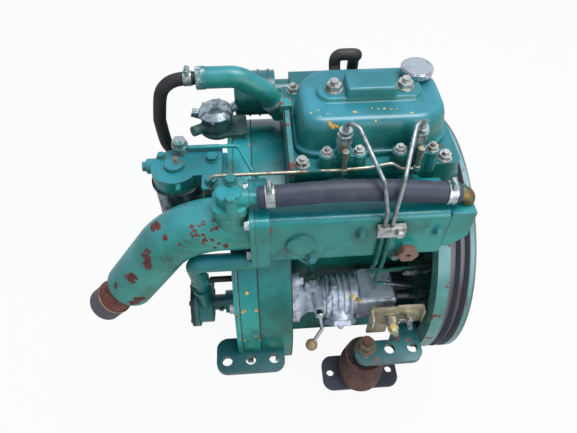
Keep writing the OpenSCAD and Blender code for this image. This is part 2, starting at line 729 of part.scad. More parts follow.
// Injection pipes, from the injectors down to the pump
pipe_r = pipe_d / 2;
pipe_bend = 12;
pipe_rise = 14;
clip_y = man_y0 - pipe_r - 2;
clip_z = man_z1 - 20;
clip_x = [207, 217];
pipe_low = 88;
pipe_low_y = pump_y - 10;
hump_x = fly_x + 33;
inj_tip = head_top + inj_top;
union_y = [pump_y + 16, pump_y - 4];
union_z = [36, -8];
union_x = [dist_x1 + 24, dist_x1 + 46];
module injection_pipe(n, low_turn) color(steel) {
    x = cyl_xs[n] + inj_shift;
    lean = (n == 0 ? 1 : -1) * pipe_rise;
    end = [union_x[n], union_y[n], union_z[n]];
    bent_tube([[x, inj_y, inj_tip + gap / 3], [x, inj_y, inj_tip + pipe_rise], [x + lean, inj_y - pipe_rise, inj_tip + pipe_rise],
        [clip_x[n] - lean / 2, hose_y - pipe_bend, hose_z0 + hose_r + pipe_rise],
        [clip_x[n], clip_y, man_z1 + pipe_rise], [clip_x[n], clip_y, man_z0 - pipe_bend / 2],
        [clip_x[n] + pipe_r, pipe_low_y - n * pipe_bend, pipe_low - n * pipe_bend * low_turn],
        [hump_x - (1 - n) * pipe_bend, end[1], end[2] + 2 * pipe_bend * 0.95],
        [hump_x - (1 - n) * pipe_bend, end[1], end[2]], end], pipe_r, pipe_bend * 0.9, thin_sides);
}
module injection_pipe_1() injection_pipe(0, 1);
module injection_pipe_2() injection_pipe(1, 1);
module pipe_clamp() color(steel) {
    difference() {
        box(clip_x[0] - clip_w, clip_x[1] + clip_w * 2, clip_y - pipe_r - clip_t, clip_y + pipe_r,
            clip_z - clip_w, clip_z + clip_w);
        for (x = clip_x) z_cyl(clip_z - 2 * clip_w, clip_z + 2 * clip_w, pipe_r + gap, x, clip_y);
    }
    translate([clip_x[1] + clip_w * 1.1, clip_y - pipe_r - clip_t, clip_z]) towards_near() hex_up(m6);
    y_cyl(clip_y, man_y0 - gap / 3, m6 + 2, clip_x[1] + clip_w * 1.1, clip_z);
}
clip_w = 9;
clip_t = 3;

// Union nuts and banjo bolts of the fuel lines
nut_len = 15;
module fuel_unions() color(chrome) {
    for (n = [0, 1]) {
        x_cyl(dist_x1, union_x[n] - nut_len, m8, union_y[n], union_z[n]);
        x_cyl(dist_x1 + washer_t * 2, dist_x1 + nut_len, m8 * hex_share * 0.9, union_y[n], union_z[n], 6);
        difference() {
            x_cyl(union_x[n] - nut_len, union_x[n] + eps, m8 * hex_share, union_y[n], union_z[n], 6);
            x_cyl(union_x[n] - eps, union_x[n] + 2 * eps, pipe_r + gap, union_y[n], union_z[n]);
        }
    }
    translate([banjo_x, banjo_y, filter_top]) banjo_bolt();
    translate([feed_x, pump_y, pump_z + pump_body_r + feed_boss]) banjo_bolt();
}
// Washer, banjo eye and bolt head
module banjo_bolt() {
    difference() {
        cylinder(h = 2 * banjo_h, r = banjo_eye_r);
        translate([0, 0, -eps]) cylinder(h = 2 * banjo_h + 2 * eps, r = m10);
    }
    cylinder(h = 2 * banjo_h + washer_t, r = m10 - gap);
    translate([0, 0, 2 * banjo_h]) hex_up(m10 * 1.15);
}
banjo_h = 6;
banjo_eye_r = m10 * washer_share + 1;

// Exhaust manifold: cored box with ports, flanges, a sensor plug and a round pad
man_wall = 8;
man_corner = 10;
end_flange_t = 19;
end_lip = 7;
boss_hex_r = 15;
pad_r = 20;
port_flange = 24;
// Space kept clear for the round housings
module drum_space(r) x_cyl(0, case_end + gap, r);
module man_profile(grow) soft_rect(man_y0 - grow, man_z0 - grow, man_y1 + grow, man_z1 + grow, man_corner);
module exhaust_manifold() color(teal) {
    difference() {
        union() {
            difference() {
                union() {
                    bar_x(man_x0, man_x1) man_profile(0);
                    bar_x(man_x0 - end_flange_t, man_x0) man_profile(end_lip);
                }
                drum_space(case_r + lip_h + gap);
            }
            for (x = cyl_xs) y_cyl(man_y1 - eps, -head_hw - eps, port_flange, x, port_z - end_lip);
            y_cyl(man_y0 - man_wall / 2, man_y0 + eps, pad_r, man_x0 + 41, man_z0 + 41);
            for (p = man_bolts) y_cyl(man_y0 - eps, man_y0 + eps, m8 * washer_share + eps, p[0], p[1]);
        }
        difference() {
            bar_x(man_x0 - end_flange_t / 2, man_x1) man_profile(-man_wall);
            drum_space(case_r + lip_h + man_wall);
        }
        x_cyl(man_x0 - end_flange_t - eps, man_x0, elbow_r - elbow_t, elbow_y, elbow_z);
        for (x = cyl_xs) y_cyl(man_y1 - man_wall - eps, -head_hw, port_r, x, port_z - end_lip);
    }
    translate([man_x1 - 49, man_y0, man_z0 + 22]) towards_near() difference() {
        cylinder(h = boss_hex_r, r = boss_hex_r, $fn = 6);
        translate([0, 0, boss_hex_r / 2]) cylinder(h = boss_hex_r, r = m8 * 0.8);
    }
    for (p = man_bolts) translate([p[0], man_y0 - eps, p[1]]) towards_near() hex_up(m8 * 0.9);
}
man_bolts = [[180, 224], [285, 222], [115, 176], [233, 173]];
module manifold_cap() color(teal) difference() {
    bar_y(man_y0, man_y1 - 2 * man_corner) polygon([
        [man_x1 + gap, man_z0 + end_lip * 3], [man_x1 + gap, man_z1], [man_x1 + cap_len, man_z1],
        [man_x1 + cap_len, man_z0 + cap_len * 1.3], [man_x1 + cap_len * 0.4, man_z0 + end_lip * 3]]);
    bar_y(man_y0 + man_wall, man_y1 - 2 * man_corner - man_wall)
        translate([man_x1, man_z0 + cap_len * 1.4]) square([cap_len - man_wall, man_h - cap_len * 1.4 - man_wall]);
}
cap_len = 33;

// Coolant hose between the thermostat and the manifold cap
hose_t = 3.5;
hose_y = man_y0 + 22;
hose_z0 = 283;
hose_z1 = 273;
hose_x0 = 44;
hose_x1 = man_x1 + 10;
hose_rise = 15;
hose_arc = 600;
neck_fit_r = hose_r - hose_t - gap;
function hose_pts(more = 0) = let (m = [(hose_x0 + hose_x1) / 2, hose_y, hose_z0 + hose_rise / 2],
    k = 1 + more / (hose_x1 - hose_x0)) [m + ([hose_x0, hose_y, hose_z0] - m) * k, m, m + ([hose_x1, hose_y, hose_z1] - m) * k];
module coolant_hose() color(black) difference() {
    bent_tube(hose_pts(), hose_r, hose_arc, wide_sides);
    bent_tube(hose_pts(2 * eps), hose_r - hose_t, hose_arc, wide_sides);
}
// Ring with a worm screw housing on top
clamp_w = 12;
band_t = 1.2;
module hose_clamp(p, dir, r) translate(p) point_to(dir) {
    difference() {
        cylinder(h = clamp_w, r = r + band_t + gap / 2);
        translate([0, 0, -eps]) cylinder(h = clamp_w + 2 * eps, r = r + gap / 2);
    }
    rotate([0, 0, clamp_side]) translate([-(r + band_t), 0, clamp_w / 2]) rotate([90, 0, 0]) {
        translate([-m6, 0, -clamp_w / 2]) cylinder(h = clamp_w, r = m6 + eps);
        translate([-m6, 0, clamp_w / 2]) cylinder(h = m8 * 0.8, r = m8, $fn = 6);
    }
}
clamp_side = 0;
hose_slope0 = unit(hose_pts()[1] - hose_pts()[0]);
hose_slope1 = unit(hose_pts()[2] - hose_pts()[1]);
module hose_clamps() color(chrome) {
    hose_clamp(hose_pts()[0] + hose_slope0 * clamp_w * 0.8, hose_slope0, hose_r);
    hose_clamp(hose_pts()[2] - hose_slope1 * clamp_w * 1.6, hose_slope1, hose_r);
    hose_clamp(rear_end + [-clamp_w * 1.5, 0, 0], [1, 0, 0], rear_hose_r);
}
module hose_elbow() color(brass) {
    tip = hose_pts()[2] - hose_slope1 * clamp_w * 1.5;
    top = man_z1 + gap;
    out = [man_x1 + cap_len * 0.72, hose_y, hose_z1 - 2];
    difference() {
        union() {
            bent_tube([tip, out, [out[0], hose_y, top + eps]], neck_fit_r, hose_r * 0.9, wide_sides);
            z_cyl(top, top + man_wall / 2, hose_r, out[0], hose_y);
        }
        bent_tube([tip - hose_slope1, out, [out[0], hose_y, top - eps]], neck_fit_r - hose_t / 2, hose_r * 0.9,
            wide_sides);
    }
}

// Water-cooled exhaust elbow with the thermostat boss cast on its top
elbow_y = man_y0 + 32;
elbow_z = 222;
elbow_t = 6;
elbow_x0 = man_x0 - end_flange_t;
elbow_run = 43;
elbow_turn = 55;
elbow_tail = 113;
stub_turn = 47;
stub_len = 80;
stub_t = 3;
thermo_x = 8;
thermo_r = 22;
thermo_z = 268;
elbow_tan = elbow_bend * tan(elbow_turn / 2);
elbow_dir = [-cos(elbow_turn), 0, -sin(elbow_turn)];
elbow_corner = [elbow_x0 - elbow_run - elbow_tan, elbow_y, elbow_z];
elbow_end = elbow_corner + elbow_dir * (elbow_tan + elbow_tail);
module elbow_tube(r, more) {
    top = [elbow_x0 - elbow_run, elbow_y, elbow_z];
    rod([elbow_x0 - gap / 3 + more, elbow_y, elbow_z], top, r);
    translate(top - [0, 0, elbow_bend]) rotate([90, 0, 0]) rotate([0, 0, 90]) rotate_extrude(angle = elbow_turn)
        translate([elbow_bend, 0]) circle(r = r);
    rod(elbow_corner + elbow_dir * elbow_tan, elbow_end + elbow_dir * more, r);
}
module exhaust_elbow() color(teal) difference() {
    union() {
        elbow_tube(elbow_r, 0);
        difference() {
            bar_x(elbow_x0 - end_lip, elbow_x0 - gap / 3) man_profile(end_lip);
            drum_space(case_r + lip_h + gap);
        }
        z_cyl(elbow_z, thermo_z, thermo_r, thermo_x, hose_y);
    }
    elbow_tube(elbow_r - elbow_t, eps);
}
module exhaust_stub() color(rust) {
    dir = [-cos(stub_turn), 0, -sin(stub_turn)];
    a = elbow_end - elbow_dir * elbow_t;
    difference() {
        union() {
            rod(a, a + dir * stub_len, stub_r);
            rod(a, a + elbow_dir * elbow_t, elbow_r - elbow_t - fit);
            rod(a + dir * (stub_len - 26), a + dir * (stub_len + 2), stub_r + 1);
        }
        rod(a - dir * elbow_r, a + dir * (stub_len + elbow_t), stub_r - stub_t);
    }
}
thermo_bolt = 16;
cover_z1 = 303;
neck_len = 44;
module thermostat_cover() color(teal) {
    z0 = thermo_z + gasket_t;
    difference() {
        union() {
            slab_z(z0, z0 + 2 * banjo_h) soft_rect(thermo_x - thermo_r, hose_y - thermo_r, thermo_x + thermo_r,
                hose_y + thermo_r, thermo_bolt * 0.7);
            z_cyl(z0, cover_z1 - banjo_h, thermo_r * 0.75, thermo_x, hose_y);
            x_cyl(thermo_x, thermo_x + thermo_r + 3, hose_r - 2 * eps, hose_y, hose_z0);
            x_cyl(thermo_x, thermo_x + neck_len + clamp_w, neck_fit_r - eps, hose_y, hose_z0);
            for (s = [-1, 1]) z_cyl(z0, cover_z1 - banjo_h * 0.8, m8 * washer_share, thermo_x + 3, hose_y + s * thermo_bolt);
        }
        z_cyl(z0 - eps, z0 + banjo_h, thermo_r * 0.6, thermo_x, hose_y);
        x_cyl(thermo_x, thermo_x + neck_len + clamp_w + eps, neck_fit_r - hose_t, hose_y, hose_z0);
    }
    for (s = [-1, 1]) translate([thermo_x + 3, hose_y + s * thermo_bolt, cover_z1 - banjo_h * 0.8]) hex_up(m8);
    color(rust) z_cyl(thermo_z, z0, thermo_r, thermo_x, hose_y);
}

// Coolant tube from the raw-water pump up to the manifold
tube_y = man_y0 + 5;
tube_z = man_z0 + 2;
riser_y = pump_y - 14;
tube_r = 13;
tube_t = 2;
riser_x = -51;
riser_z = [76, 104];
riser_r = 10;
module coolant_tube() color(teal) {
    start = [elbow_x0 - end_lip - gap / 3, tube_y, tube_z];
    end = [riser_x, riser_y, riser_z[1]];
    pts = [start, [riser_x, tube_y, tube_z], end];
    difference() {
        bent_tube(pts, tube_r, tube_r * 1.2, wide_sides);
        bent_tube([start + [eps, 0, 0], pts[1], end + unit(end - pts[1])], tube_r - tube_t, tube_r * 1.2, wide_sides);
    }
    difference() {
        union() {
            z_cyl(riser_z[1] - nut_len, riser_z[1] + eps, riser_r * 1.5, riser_x, riser_y, 6);
            z_cyl(riser_z[0] + gap, riser_z[1] - nut_len, riser_r, riser_x, riser_y);
        }
        z_cyl(riser_z[0] - eps, riser_z[1] + 2 * eps, riser_r - tube_t, riser_x, riser_y);
    }
}

// Raw-water pump driven from the timing gears
wp_x = [-68, -40];
wp_r = 32;
wp_lip = 38;
wp_lip_t = 6;
wp_neck = 13;
wp_bore = 27;
wp_foot = 19;
module water_pump() color(teal) {
    difference() {
        union() {
            x_cyl(wp_x[0], wp_x[1], wp_r, pump_y, pump_z);
            x_cyl(wp_x[0], wp_x[0] + wp_lip_t, wp_lip, pump_y, pump_z);
            x_cyl(wp_x[1] - eps, -gap, wp_neck, pump_y, pump_z);
            x_cyl(-wp_foot, -gap, wp_foot, pump_y, pump_z);
            z_cyl(pump_z, riser_z[0], riser_r, riser_x, riser_y);
            z_cyl(riser_z[0] - wp_lip_t, riser_z[0], riser_r * 1.4, riser_x, riser_y);
            y_cyl(pump_y, pump_y + wp_r + wp_foot, riser_r, riser_x, pump_z - wp_neck);
            y_cyl(pump_y, pump_y + wp_r, riser_r * 1.2, riser_x, pump_z - wp_neck);
        }
        x_cyl(wp_x[0] - eps, wp_x[1] - wp_lip_t + gap, wp_bore, pump_y, pump_z);
        x_cyl(wp_x[0], eps, shaft_r + fit, pump_y, pump_z);
        z_cyl(pump_z, riser_z[0] + eps, riser_r - tube_t, riser_x, riser_y);
        y_cyl(pump_y + wp_bore * 0.8, pump_y + wp_r + wp_foot + eps, riser_r - tube_t, riser_x, pump_z - wp_neck);
    }
    translate([-wp_foot - nut_len / 2, pump_y - wp_neck, pump_z]) towards_near() cylinder(h = m6, r = m8, $fn = 6);
}
module water_pump_cover() color(black) {
    x_cyl(wp_x[0] - wp_lip_t, wp_x[0] - gap, wp_lip, pump_y, pump_z);
    for (i = [0:5]) translate([wp_x[0] - wp_lip_t, pump_y, pump_z]) rotate([i * 60, 0, 0])
        translate([0, wp_lip - wp_lip_t, 0]) towards_rear() cylinder(h = m6 * 0.7, r = m6 + eps, $fn = 24);
}
vane_n = 6;
vane_w = 4;
module impeller() color(black) translate([impeller_x0 + gap, pump_y, pump_z]) difference() {
    w = impeller_x1 - impeller_x0 - gap;
    union() {
        x_cyl(0, w, shaft_r + vane_w);
        for (i = [0:vane_n - 1]) rotate([i * 360 / vane_n, 0, 0]) {
            box(0, w, 0, wp_bore - vane_w, -vane_w / 2, vane_w / 2);
            x_cyl(0, w, vane_w * 0.7, wp_bore - vane_w);
        }
    }
    x_cyl(-eps, w + eps, shaft_r);
}

// Fuel filter on its bracket at the back of the ring
filter_x1 = -5;
filter_x0 = -100;
filter_y0 = -100;
filter_y1 = -10;
filter_z = 224;
filter_top = 248;
filter_bolt = 14;
bowl_x = -72;
bowl_y = -52;
bowl_r = 34;
bowl_z = 132;
banjo_x = -65;
banjo_y = -22;
module filter_head() color(teal) {
    slab_z(filter_z, filter_top) {
        soft_rect(bowl_x + bowl_r * 0.2, filter_y0 + 2 * filter_bolt, filter_x1, filter_y1, banjo_h);
        translate([bowl_x, bowl_y]) circle(r = bowl_r);
        soft_rect(filter_x1 - 2 * filter_bolt, filter_y0, filter_x1, filter_y1, banjo_h);
    }
    x_cyl(filter_x0 - filter_bolt, bowl_x, filter_bolt * 0.8, bowl_y + filter_bolt, (filter_z + filter_top) / 2);
    z_cyl(filter_top - eps, filter_top + banjo_h, filter_bolt, bowl_x, bowl_y);
    z_cyl(filter_z, filter_top, filter_bolt, banjo_x, banjo_y);
    bar_y(filter_y0, filter_y1) polygon([[-gap, filter_z - 3 * m10], [-gap, filter_z + banjo_h], [filter_x1, filter_z + banjo_h],
        [filter_x1 - 2 * banjo_h, filter_z + eps], [filter_x1, filter_z - banjo_h], [filter_x1, filter_z - 3 * m10]]);
    for (y = [filter_y0 + filter_bolt, (filter_y0 + filter_y1) / 2 + filter_bolt])
        translate([filter_x1 - filter_bolt, y, filter_top]) hex_up(m8 * 1.15);
    translate([bowl_x - bowl_r * 0.6, bowl_y + bowl_r * 0.6, filter_top]) hex_up(m6);
    translate([filter_x0 - filter_bolt, bowl_y + filter_bolt, (filter_z + filter_top) / 2]) towards_rear() hex_up(m8);
    translate([bowl_x + 6, filter_y0 + 5 * m8, filter_top - banjo_h]) towards_near() cylinder(h = 4 * m8, r = m8);
}
module filter_bowl() color(steel) {
    difference() {
        translate([bowl_x, bowl_y, 0]) rotate_extrude() polygon([
            [0, bowl_z], [bowl_r * 0.7, bowl_z], [bowl_r, bowl_z + banjo_h * 2], [bowl_r, filter_z - m6],
            [bowl_r + m6, filter_z - m6], [bowl_r + m6, filter_z - gap / 3], [0, filter_z - gap / 3]]);
        z_cyl(bowl_z + 2 * banjo_h, filter_z - man_wall, bowl_r - m6, bowl_x, bowl_y);
    }
}
feed_x = 124;
feed_boss = 8;
fuel_r = 3;
fuel_low = 76;
module fuel_line() color(teal) {
    z = filter_top + banjo_h;
    feed_z = pump_z + pump_body_r + feed_boss + banjo_h;
    down_y = -head_hw - fuel_r - 1;
    tube = [[banjo_x + banjo_eye_r + fit, banjo_y, z], [ring_len / 2, banjo_y, z],
        [ring_len, down_y + 26, z - fuel_r], [man_x0 + fuel_r, man_y1 + end_lip * 2, deck_z + 2 * fuel_r],
        [case_end + banjo_h, down_y, deck_z - 2 * fuel_r], [case_end + banjo_h, down_y, fuel_low],
        [feed_x, pump_y + 30, feed_z], [feed_x, pump_y + banjo_eye_r + fit, feed_z]];
    bent_tube(tube, fuel_r, fuel_r * 3, thin_sides);
}

// Fuel lift pump on the top of the ring
lift_x = -15;
lift_y = 59;
lift_z = [case_r + 1.5, case_r + 33];
lift_r = 24;
lever_w = 8;
module lift_pump() color(steel) {
    difference() {
        union() {
            z_cyl(lift_z[0] + fit, lift_z[0] + lift_r / 4, lift_r + 4, lift_x, lift_y);
            z_cyl(lift_z[0] + fit, lift_z[1], lift_r, lift_x, lift_y);
            slab_z(lift_z[0] + fit, lift_z[0] + lift_r / 4)
                soft_rect(lift_x, lift_y - lift_r, ring_len - banjo_h, lift_y + lift_r, banjo_h);
            rod([lift_x, lift_y, lift_z[1] - 12], [lift_x - 38, lift_y + 4, lift_z[1]], m8 * 1.8);
            rod([lift_x, lift_y, lift_z[1] - 12], [lift_x + 32, lift_y + 10, lift_z[1] + 6], m8 * 1.8);
            rod([lift_x, lift_y, lift_z[1] - 20], [lift_x - 36, lift_y - 28, lift_z[1] - 12], m8 * 2);
        }
        box(lift_x - lever_w, lift_x + lever_w, lift_y + lift_r - 3 * m8, lift_y + 2 * lift_r, lift_z[0] + 2 * m6,
            lift_z[0] + 2 * m6 + lever_w);
    }
    translate([lift_x, lift_y, 0]) rotate_extrude() polygon([[0, lift_z[1] - eps], [lift_r + 3, lift_z[1] - eps],
        [lift_r + 3, lift_z[1] + m8], [lift_r, lift_z[1] + 2 * m8], [lift_r * 0.8, lift_z[1] + 3 * m8],
        [lift_r * 0.3, lift_z[1] + 4 * m8], [0, lift_z[1] + 4 * m8]]);
    translate([lift_x, lift_y, lift_z[1] + 4 * m8 - eps]) cylinder(h = m8, r = m8, $fn = 6);
}
module priming_lever() color(steel) {
    z = lift_z[0] + 2 * m6 + lever_w / 2;
    slab_z(z - lever_w / 2 + gap, z + lever_w / 2 - gap) {
        translate([lift_x - lever_w * 0.3, lift_y + lift_r - m8]) square([lever_w * 0.6, lift_r]);
        translate([lift_x, lift_y + lift_r - m8]) circle(r = lever_w * 0.5);
        translate([lift_x, lift_y + 2 * lift_r - m8]) circle(r = lever_w * 0.6);
    }
}

// Rear coolant pipe and the two small hoses
rear_r = 16;
rear_bend = 40;
rear_y = 60;
rear_end = [-38, rear_y, 315];
rear_hose_r = 10;
rear_hose_t = 3;
hose_nipple = [-gap, 75, 120];
module rear_pipe() color(teal) {
    pts = [[head_x0, rear_y, head_z + 32], [head_x0 - 22, rear_y, head_z + 74], [head_x0 - 64, rear_y, rear_end[2]], rear_end];
    difference() {
        union() {
            bent_tube(pts, rear_r, rear_bend, wide_sides);
            rod(pts[0] + unit(pts[1] - pts[0]) * 14, pts[0] + unit(pts[1] - pts[0]) * 24, rear_r + eps);
            rod(rear_end, rear_end + [14, 0, 0], rear_r + eps);
            translate(rear_end) towards_rear() cylinder(h = clamp_w, r = rear_hose_r - rear_hose_t - fit);
        }
        box(head_x0 - gap / 3, head_x0 + 4 * rear_r, 0, 2 * rear_y, head_z - rear_r, head_top + rear_r);
    }
}
module small_hoses() color(black) {
    difference() {
        bent_tube([rear_end - [gap, 0, 0], rear_end - [52, 0, 0], [-104, rear_y, 240], [-102, rear_y, 180],
            hose_nipple - [34, 0, 0], hose_nipple], rear_hose_r, 40, wide_sides);
        translate(rear_end + [eps, 0, 0]) towards_rear() cylinder(h = clamp_w + 2, r = rear_hose_r - rear_hose_t);
    }
    difference() {
        bent_tube([[vent_x, cover_hw + 3 * eps, vent_z], [vent_x, cover_hw + vent_out, vent_z],
            [vent_x, cover_hw + vent_out, vent_z + vent_out * 0.9], [vent_x + vent_span, cover_hw + vent_out, vent_z + vent_out * 0.9],
            [vent_x + vent_span, in_y, vent_z], [vent_x + vent_span, in_y, in_z1 + gap]], vent_r, vent_out * 0.4, wide_sides / 2);
        y_cyl(cover_hw, cover_hw + vent_out / 2, vent_r - 3, vent_x, vent_z);
    }
    x_cyl(riser_x + 1.5 * riser_r + gap, -gap, m8 * 1.2, riser_y, riser_z[1] - nut_len / 2);
}
vent_out = 26;
vent_span = 34;

// Injection pump: flange, throat, ribbed body and box
pump_plate_t = 16;
pump_pilot_r = 30;
pump_plate_r = 62;
pump_body_r = 37;
pump_x = [103, 200, 262];
throat_r = 26;
rib_n = 5;
rib_t = 5;
rib_h = 4;
box_hw = 33;
box_z = [-24, 33];
hand_x = 133;
hand_z = 30;
hand_y = pump_y - pump_body_r - 5;
hex_cover_r = 27;
nozzle_at = [160.5, pump_y - 8, pump_z + 34];
module injection_pump() color(aluminium) {
    difference() {
        union() {
            bar_x(case_end, case_end + pump_plate_t) union() {
                translate([pump_y, pump_z]) circle(r = pump_body_r + 4);
                for (s = [-1, 1]) translate([pump_y, pump_z + s * (pump_plate_r - 2 * m8)]) circle(r = 2 * m8 + 5);
                translate([pump_y - 2 * m8 - 5, pump_z - pump_plate_r + 2 * m8]) square([4 * m8 + 10, 2 * pump_plate_r - 4 * m8]);
            }
            x_cyl(case_end - case_wall / 2, case_end, pump_pilot_r - fit, pump_y, pump_z);
            translate([case_end + pump_plate_t - eps, pump_y, pump_z]) rotate([0, 90, 0]) rotate_extrude() polygon([
                [0, 0], [pump_body_r, 0], [throat_r, rib_t * 3], [throat_r, rib_t * 6], [pump_body_r * 0.9, rib_t * 9],
                [0, rib_t * 9]]);
            x_cyl(pump_x[0] + rib_t * 8, pump_x[1] + eps, pump_body_r - rib_h, pump_y, pump_z);
            for (i = [0:rib_n - 1]) x_cyl(pump_x[0] + rib_t * (9 + 2 * i), pump_x[0] + rib_t * (10 + 2 * i),
                pump_body_r, pump_y, pump_z);
            bar_x(pump_x[1], pump_x[2]) soft_rect(pump_y - box_hw, box_z[0], pump_y + box_hw, box_z[1], banjo_h);
            slab_z(box_z[1] - eps, box_z[1] + rib_h) soft_rect(pump_x[1] + rib_h, pump_y - box_hw + rib_h,
                pump_x[2] - rib_h, pump_y + box_hw - rib_h, banjo_h);
            z_cyl(pump_z, pump_z + pump_body_r + feed_boss, m10 * washer_share + 1, feed_x, pump_y);
            translate([pump_x[1] - hex_cover_r, pump_y, pump_z]) rotate([hex_lean, 0, 0]) {
                cylinder(h = pump_body_r + rib_h, r = hex_cover_r - rib_h);
                translate([0, 0, pump_body_r + rib_h]) cylinder(h = rib_h * 2, r = hex_cover_r, $fn = 6);
                translate([0, 0, pump_body_r + rib_h * 3]) cylinder(h = rib_h, r = m8 * hex_share, $fn = 6);
                translate([0, 0, pump_body_r + rib_h * 4]) sphere(r = m8 * 1.3);
            }
            y_cyl(hand_y, pump_y, m10 * 1.8, hand_x, hand_z);
            translate(nozzle_at - [0, 0, rib_h * 2]) {
                cylinder(h = 4 * rib_h, r = m12);
                translate([0, 0, 3 * rib_h]) sphere(r = m12);
            }
            rod(nozzle_at + [0, 0, rib_h], nozzle_at + [-14, -22, -2], m8);
            rod(nozzle_at + [-8, -13, 0], nozzle_at + [-9.5, -15, 0], m10);
        }
        x_cyl(case_end - case_wall, case_end + shaft_front + gap * 3, shaft_r + fit, pump_y, pump_z);
        y_cyl(hand_y - eps, hand_y + 4 * m8, m6 + fit, hand_x, hand_z);
    }
    for (s = [-1, 1]) translate([case_end + pump_plate_t, pump_y, pump_z + s * (pump_plate_r - 2 * m8)])
        towards_front() hex_up(m8);
}
hex_lean = 125;
dist_t = 19;
dist_z = [-19, 42];
dist_hw = 34;
module distributor_head() color(black) difference() {
    bar_x(dist_x1 - dist_t, dist_x1) union() {
        soft_rect(pump_y - dist_hw + m8, dist_z[0] + m8, pump_y + dist_hw - m8, dist_z[1] - m8, m8);
        for (s = [-1, 1], t = [0, 1]) translate([pump_y + s * (dist_hw - 2 * m8), dist_z[t] + (t == 0 ? 1 : -1) * 2 * m8])
            circle(r = 2 * m8);
        translate([pump_y, (dist_z[0] + dist_z[1]) / 2]) circle(r = (dist_z[1] - dist_z[0]) / 2);
    }
    for (s = [-1, 1], z = dist_z) x_cyl(dist_x1 - m8, dist_x1 + eps, m8, pump_y + s * (dist_hw - 2 * m8), z + (z < 0 ? 2 : -2) * m8);
}

// Throttle bracket, levers and spring
plate_t = 3;
plate_y = pump_y - box_hw - 17;
plate_x = [216, 302];
throttle_x = 250;
throttle_z = 18;
stop_x = 276;
stop_z = 26;
module control_bracket() color(zinc_gold) difference() {
    union() {
        bar_y(plate_y - plate_t, plate_y) {
            soft_rect(plate_x[0], throttle_z - 28, plate_x[0] + 60, throttle_z + 26, m8);
            soft_rect(plate_x[0] + 40, throttle_z - 22, plate_x[1], throttle_z + 30, m8);
            soft_rect(plate_x[0], throttle_z - 56, plate_x[0] + 34, throttle_z, m8);
        }
        bar_x(plate_x[0], plate_x[0] + plate_t) soft_rect(plate_y - tab_len, throttle_z - 12, plate_y, throttle_z + 20, plate_t / 3);
        bar_x(plate_x[1] - plate_t, plate_x[1]) soft_rect(plate_y - tab_len * 0.6, throttle_z - 10, plate_y, throttle_z + 24, plate_t / 3);
        for (x = [plate_x[0] + 12, plate_x[0] + 42]) y_cyl(plate_y, pump_y - box_hw - fit, m10, x, throttle_z - 6);
        y_cyl(plate_y - plate_t - 2, plate_y, m12 + 3, throttle_x, throttle_z);
        y_cyl(plate_y - plate_t - 2, plate_y, m10 + 3, stop_x, stop_z);
    }
    y_cyl(plate_y - tab_len, plate_y + eps, m10 + fit, throttle_x, throttle_z);
    y_cyl(plate_y - tab_len, plate_y + eps, m8 + fit, stop_x, stop_z);
    x_cyl(plate_x[0] - eps, plate_x[0] + plate_t + eps, m6 + fit, plate_y - tab_len * 0.7, throttle_z + 8);
}
tab_len = 20;
lever_y = plate_y - plate_t - 20;
module lever_plate(x, z, len, turn, hub, t) translate([x, 0, z]) rotate([0, turn, 0]) bar_y(lever_y - t, lever_y) {
    circle(r = hub);
    translate([0, -hub * 0.55]) square([len, hub * 1.1]);
    translate([len, 0]) circle(r = hub * 0.55);
}
module throttle_lever() color(zinc_gold) {
    y_cyl(lever_y - plate_t / 2, plate_y + plate_t, m10, throttle_x, throttle_z);
    lever_plate(throttle_x, throttle_z, 34, -100, m12 + 3, plate_t);
    lever_plate(throttle_x, throttle_z, 26, 70, m12 + 2, plate_t);
    translate([throttle_x, lever_y - plate_t + fit, throttle_z]) towards_near() hex_up(m8);
    translate([throttle_x + 34 * cos(100), lever_y - plate_t / 2, throttle_z + 34 * sin(100)])
        towards_near() cylinder(h = 2 * m8, r = m6 + 1);
}
module stop_lever() color(steel) {
    y_cyl(lever_y - plate_t + 7, plate_y + plate_t, m8, stop_x, stop_z);
    translate([0, m16, 0]) lever_plate(stop_x, stop_z, 30, 75, m8 + 3, plate_t);
    translate([0, m16, 0]) lever_plate(stop_x, stop_z, 14, 180, m8 + 2, plate_t);
}
// Torsion spring round the throttle shaft: one unbroken tube
coil_wire = 1.1;
coil_r = m10 + coil_wire + 1.4;
coil_turns = 4;
coil_pitch = 3.8;
coil_sides = 8;
coil_y = lever_y + coil_wire + gap;
coil_legs = 16;
function coil_point(s) = s < 0 ? [coil_r, s * coil_legs, 0]
    : s > coil_turns ? [coil_r, (s - coil_turns) * coil_legs, coil_turns * coil_pitch]
    : [coil_r * cos(360 * s), coil_r * sin(360 * s), s * coil_pitch];
coil_steps = concat([-1], [for (i = [0:coil_turns * coil_sides]) i / coil_sides], [coil_turns + 1]);
coil_path = [for (s = coil_steps) coil_point(s)];
module throttle_spring() color(steel) translate([throttle_x, coil_y, throttle_z]) rotate([-90, 0, 0])
    swept_tube(coil_path, coil_wire, 6);
least_gap = min([for (i = [0:len(coil_path) - 1], j = [i + coil_sides - 1:1:len(coil_path) - 1])
    norm(coil_path[i] - coil_path[j])]) - 2 * coil_wire;
echo(spring_least_gap = least_gap);

// Hand priming lever with its ball
ball_r = 10;
hand_end = [-13, -26, -55];
module hand_lever() {
    color(chrome) {
        y_cyl(hand_y - 10, hand_y + 3 * m8, m6, hand_x, hand_z);
        y_cyl(hand_y - 10, hand_y - gap * 2, m10 + 2, hand_x, hand_z);
        at = [hand_x, hand_y - 6, hand_z];
        bent_tube([at, at + [5, -12, -26], at + hand_end], m6, 14, thin_sides);
    }
    color(brass) translate([hand_x, hand_y - 6, hand_z] + hand_end) sphere(r = ball_r);
}

